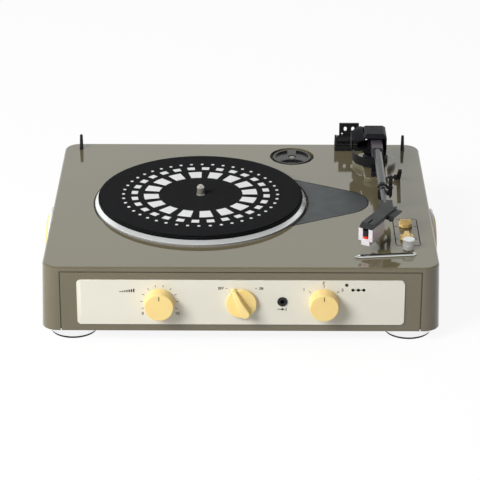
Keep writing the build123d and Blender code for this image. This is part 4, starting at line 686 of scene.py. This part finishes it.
# A dark inset along the trim bar, which leaves two bright edges
trim_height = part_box("trim_bar")[1].z
trim_top = [v.co for v in frame["nodes"]["trim_bar"].data.vertices
            if v.co.z > trim_height - weld_distance]
trim_start = min(trim_top, key=lambda place: place.x)
trim_end = max(trim_top, key=lambda place: place.x)
trim_way = (trim_end - trim_start).to_2d()
trim_inset = 3.0 * mm
trim_ends = 3.0 * mm
trim_middle = sum((place.to_2d() for place in trim_top), Vector((0, 0))) / len(trim_top)
trim_place = Matrix.Translation((0, 0, trim_height))
print_sheet("trim_inset", [bar(*trim_middle, trim_way.length - 2 * trim_ends, trim_inset,
                               atan2(trim_way.y, trim_way.x))], trim_place, black_ink, "casing")

# Slipmat print: two rings of blocks and a ring of dots, in white
mat_centre = middle("slipmat")
mat_print_sink = 0.12 * mm
mat_print_height = 0.2 * mm
mat_place = Matrix.Translation((mat_centre.x, mat_centre.y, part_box("slipmat")[1].z - mat_print_sink))
# Count, inner and outer radius, start and filled share of a step, and steps along each block
block_rings = ((16, 40 * mm, 54 * mm, 0, 0.62, 8), (28, 60 * mm, 66 * mm, 0.5, 0.5, 4))
dot_count = 44
dot_ring = 73.5 * mm
dot_radius = 1.5 * mm
dot_sides = 12
mat_print = []
for count, inner, outer, offset, filled, steps in block_rings:
    for step in range(count):
        start = 2 * pi * (step + offset) / count
        mat_print.append(sector(inner, outer, start, start + 2 * pi / count * filled, steps))
for step in range(dot_count):
    angle = 2 * pi * step / dot_count
    mat_print.append(dot(dot_ring * cos(angle), dot_ring * sin(angle), dot_radius, dot_sides))
print_sheet("slipmat_print", mat_print, mat_place, white_ink, "platter", height=mat_print_height)


# Studio

def any_ray(tree, *kinds):
    """1 for rays of any of the kinds."""
    path = tree.nodes.new("ShaderNodeLightPath")
    total = path.outputs[kinds[0]]
    for kind in kinds[1:]:
        larger = tree.nodes.new("ShaderNodeMath")
        larger.operation = "MAXIMUM"
        tree.links.new(total, larger.inputs[0])
        tree.links.new(path.outputs[kind], larger.inputs[1])
        total = larger.outputs["Value"]
    return total


def mixed_shaders(tree, factor, first, second):
    """Two shaders mixed by factor."""
    made = tree.nodes.new("ShaderNodeMixShader")
    if isinstance(factor, bpy.types.NodeSocket):
        tree.links.new(factor, made.inputs["Fac"])
    else:
        made.inputs["Fac"].default_value = factor
    tree.links.new(first, made.inputs[1])
    tree.links.new(second, made.inputs[2])
    return made.outputs["Shader"]


floor_tone = 0.50
floor_white_share = 0.90
floor_reach = 6


def floor_finish():
    """A pale floor that shows as white and keeps a faint soft shadow."""
    material = bpy.data.materials.new("studio_floor")
    material.use_nodes = True
    tree = material.node_tree
    shader = tree.nodes["Principled BSDF"]
    shader.inputs["Base Color"].default_value = shade((floor_tone,) * 3, 1)
    shader.inputs["Roughness"].default_value = 0.9
    shader.inputs["Specular IOR Level"].default_value = 0.0
    pale = node(tree, "ShaderNodeBsdfDiffuse", Color=(1, 1, 1, 1))
    white = node(tree, "ShaderNodeEmission", Color=(1, 1, 1, 1), Strength=1.0)
    shown = mixed_shaders(tree, floor_white_share, pale.outputs["BSDF"], white.outputs["Emission"])
    seen = any_ray(tree, "Is Camera Ray", "Is Glossy Ray", "Is Transmission Ray")
    surface = mixed_shaders(tree, seen, shader.outputs["BSDF"], shown)
    tree.links.new(surface, tree.nodes["Material Output"].inputs["Surface"])
    return material


soft_level = 0.20
mirror_colour = (0.97, 1.0, 0.965, 1)
mirror_levels = (1.0, 0.35)
# The white of the backdrop ends between these heights, as sines of the elevation
backdrop_top = (0.46, 0.56)


def backdrop_light(tree):
    """World light: soft on surfaces, white where it is seen, and grey above the backdrop in gloss."""
    tree.nodes.clear()
    place = tree.nodes.new("ShaderNodeTexCoord")
    direction = tree.nodes.new("ShaderNodeSeparateXYZ")
    tree.links.new(place.outputs["Generated"], direction.inputs["Vector"])
    level = remap(tree, direction.outputs["Z"], *mirror_levels, source=backdrop_top)
    soft = node(tree, "ShaderNodeBackground", Color=(1, 1, 1, 1), Strength=soft_level)
    mirrored = node(tree, "ShaderNodeBackground", Color=mirror_colour)
    tree.links.new(level, mirrored.inputs["Strength"])
    white = node(tree, "ShaderNodeBackground", Color=(1, 1, 1, 1), Strength=1.0)
    behind = mixed_shaders(tree, any_ray(tree, "Is Glossy Ray", "Is Transmission Ray"),
                           soft.outputs["Background"], mirrored.outputs["Background"])
    shown = mixed_shaders(tree, any_ray(tree, "Is Camera Ray"), behind, white.outputs["Background"])
    output = tree.nodes.new("ShaderNodeOutputWorld")
    tree.links.new(shown, output.inputs["Surface"])


def lamp(name, place, aim, size, power):
    """A square soft light that looks at a point."""
    data = bpy.data.lights.new(name, "AREA")
    data.size = size
    data.energy = power
    light = bpy.data.objects.new(name, data)
    scene.collection.objects.link(light)
    light.location = place
    light.rotation_euler = (Vector(aim) - Vector(place)).to_track_quat("-Z", "Y").to_euler()
    return light


floor_shape = bmesh.new()
bmesh.ops.create_grid(floor_shape, x_segments=2, y_segments=2, size=floor_reach)
floor = from_bmesh("studio_floor", floor_shape)
floor.data.materials.append(floor_finish())

world = bpy.data.worlds.new("studio")
scene.world = world
world.use_nodes = True
backdrop_light(world.node_tree)
aim = Vector((0, 0, deck_top))
# Name, place, size in metres and power in watts
lamps = (
    ("key", (-1.3, -1.3, 1.35), 1.0, 53),
    ("side", (-2.2, -0.5, 0.3), 0.6, 11),
    ("top", (0.2, 0.9, 2.2), 1.0, 9),
)
for name, place, size, power in lamps:
    # The glossy deck mirrors the backdrop and not the lamps
    lamp(name, place, aim, size, power).visible_glossy = False

# Camera at the photograph's viewing angle
camera_place = Vector((0.0060276, -1.8763057, 0.901028))
camera_right = Vector((0.999989, 0.004525, 0.001431))
camera_ahead = Vector((-0.003512, 0.908373, -0.418146))
# Sensor and focal length in millimetres
camera_sensor = 36
camera_lens = 161.495
camera_data = bpy.data.cameras.new("photo_camera")
camera_data.sensor_width = camera_sensor
camera_data.lens = camera_lens
camera = bpy.data.objects.new("photo_camera", camera_data)
scene.collection.objects.link(camera)
camera_up = camera_right.cross(camera_ahead)
camera.matrix_world = Matrix((camera_right, camera_up, -camera_ahead)).transposed().to_4x4()
camera.location = camera_place
scene.camera = camera
scene.view_settings.view_transform = "Standard"
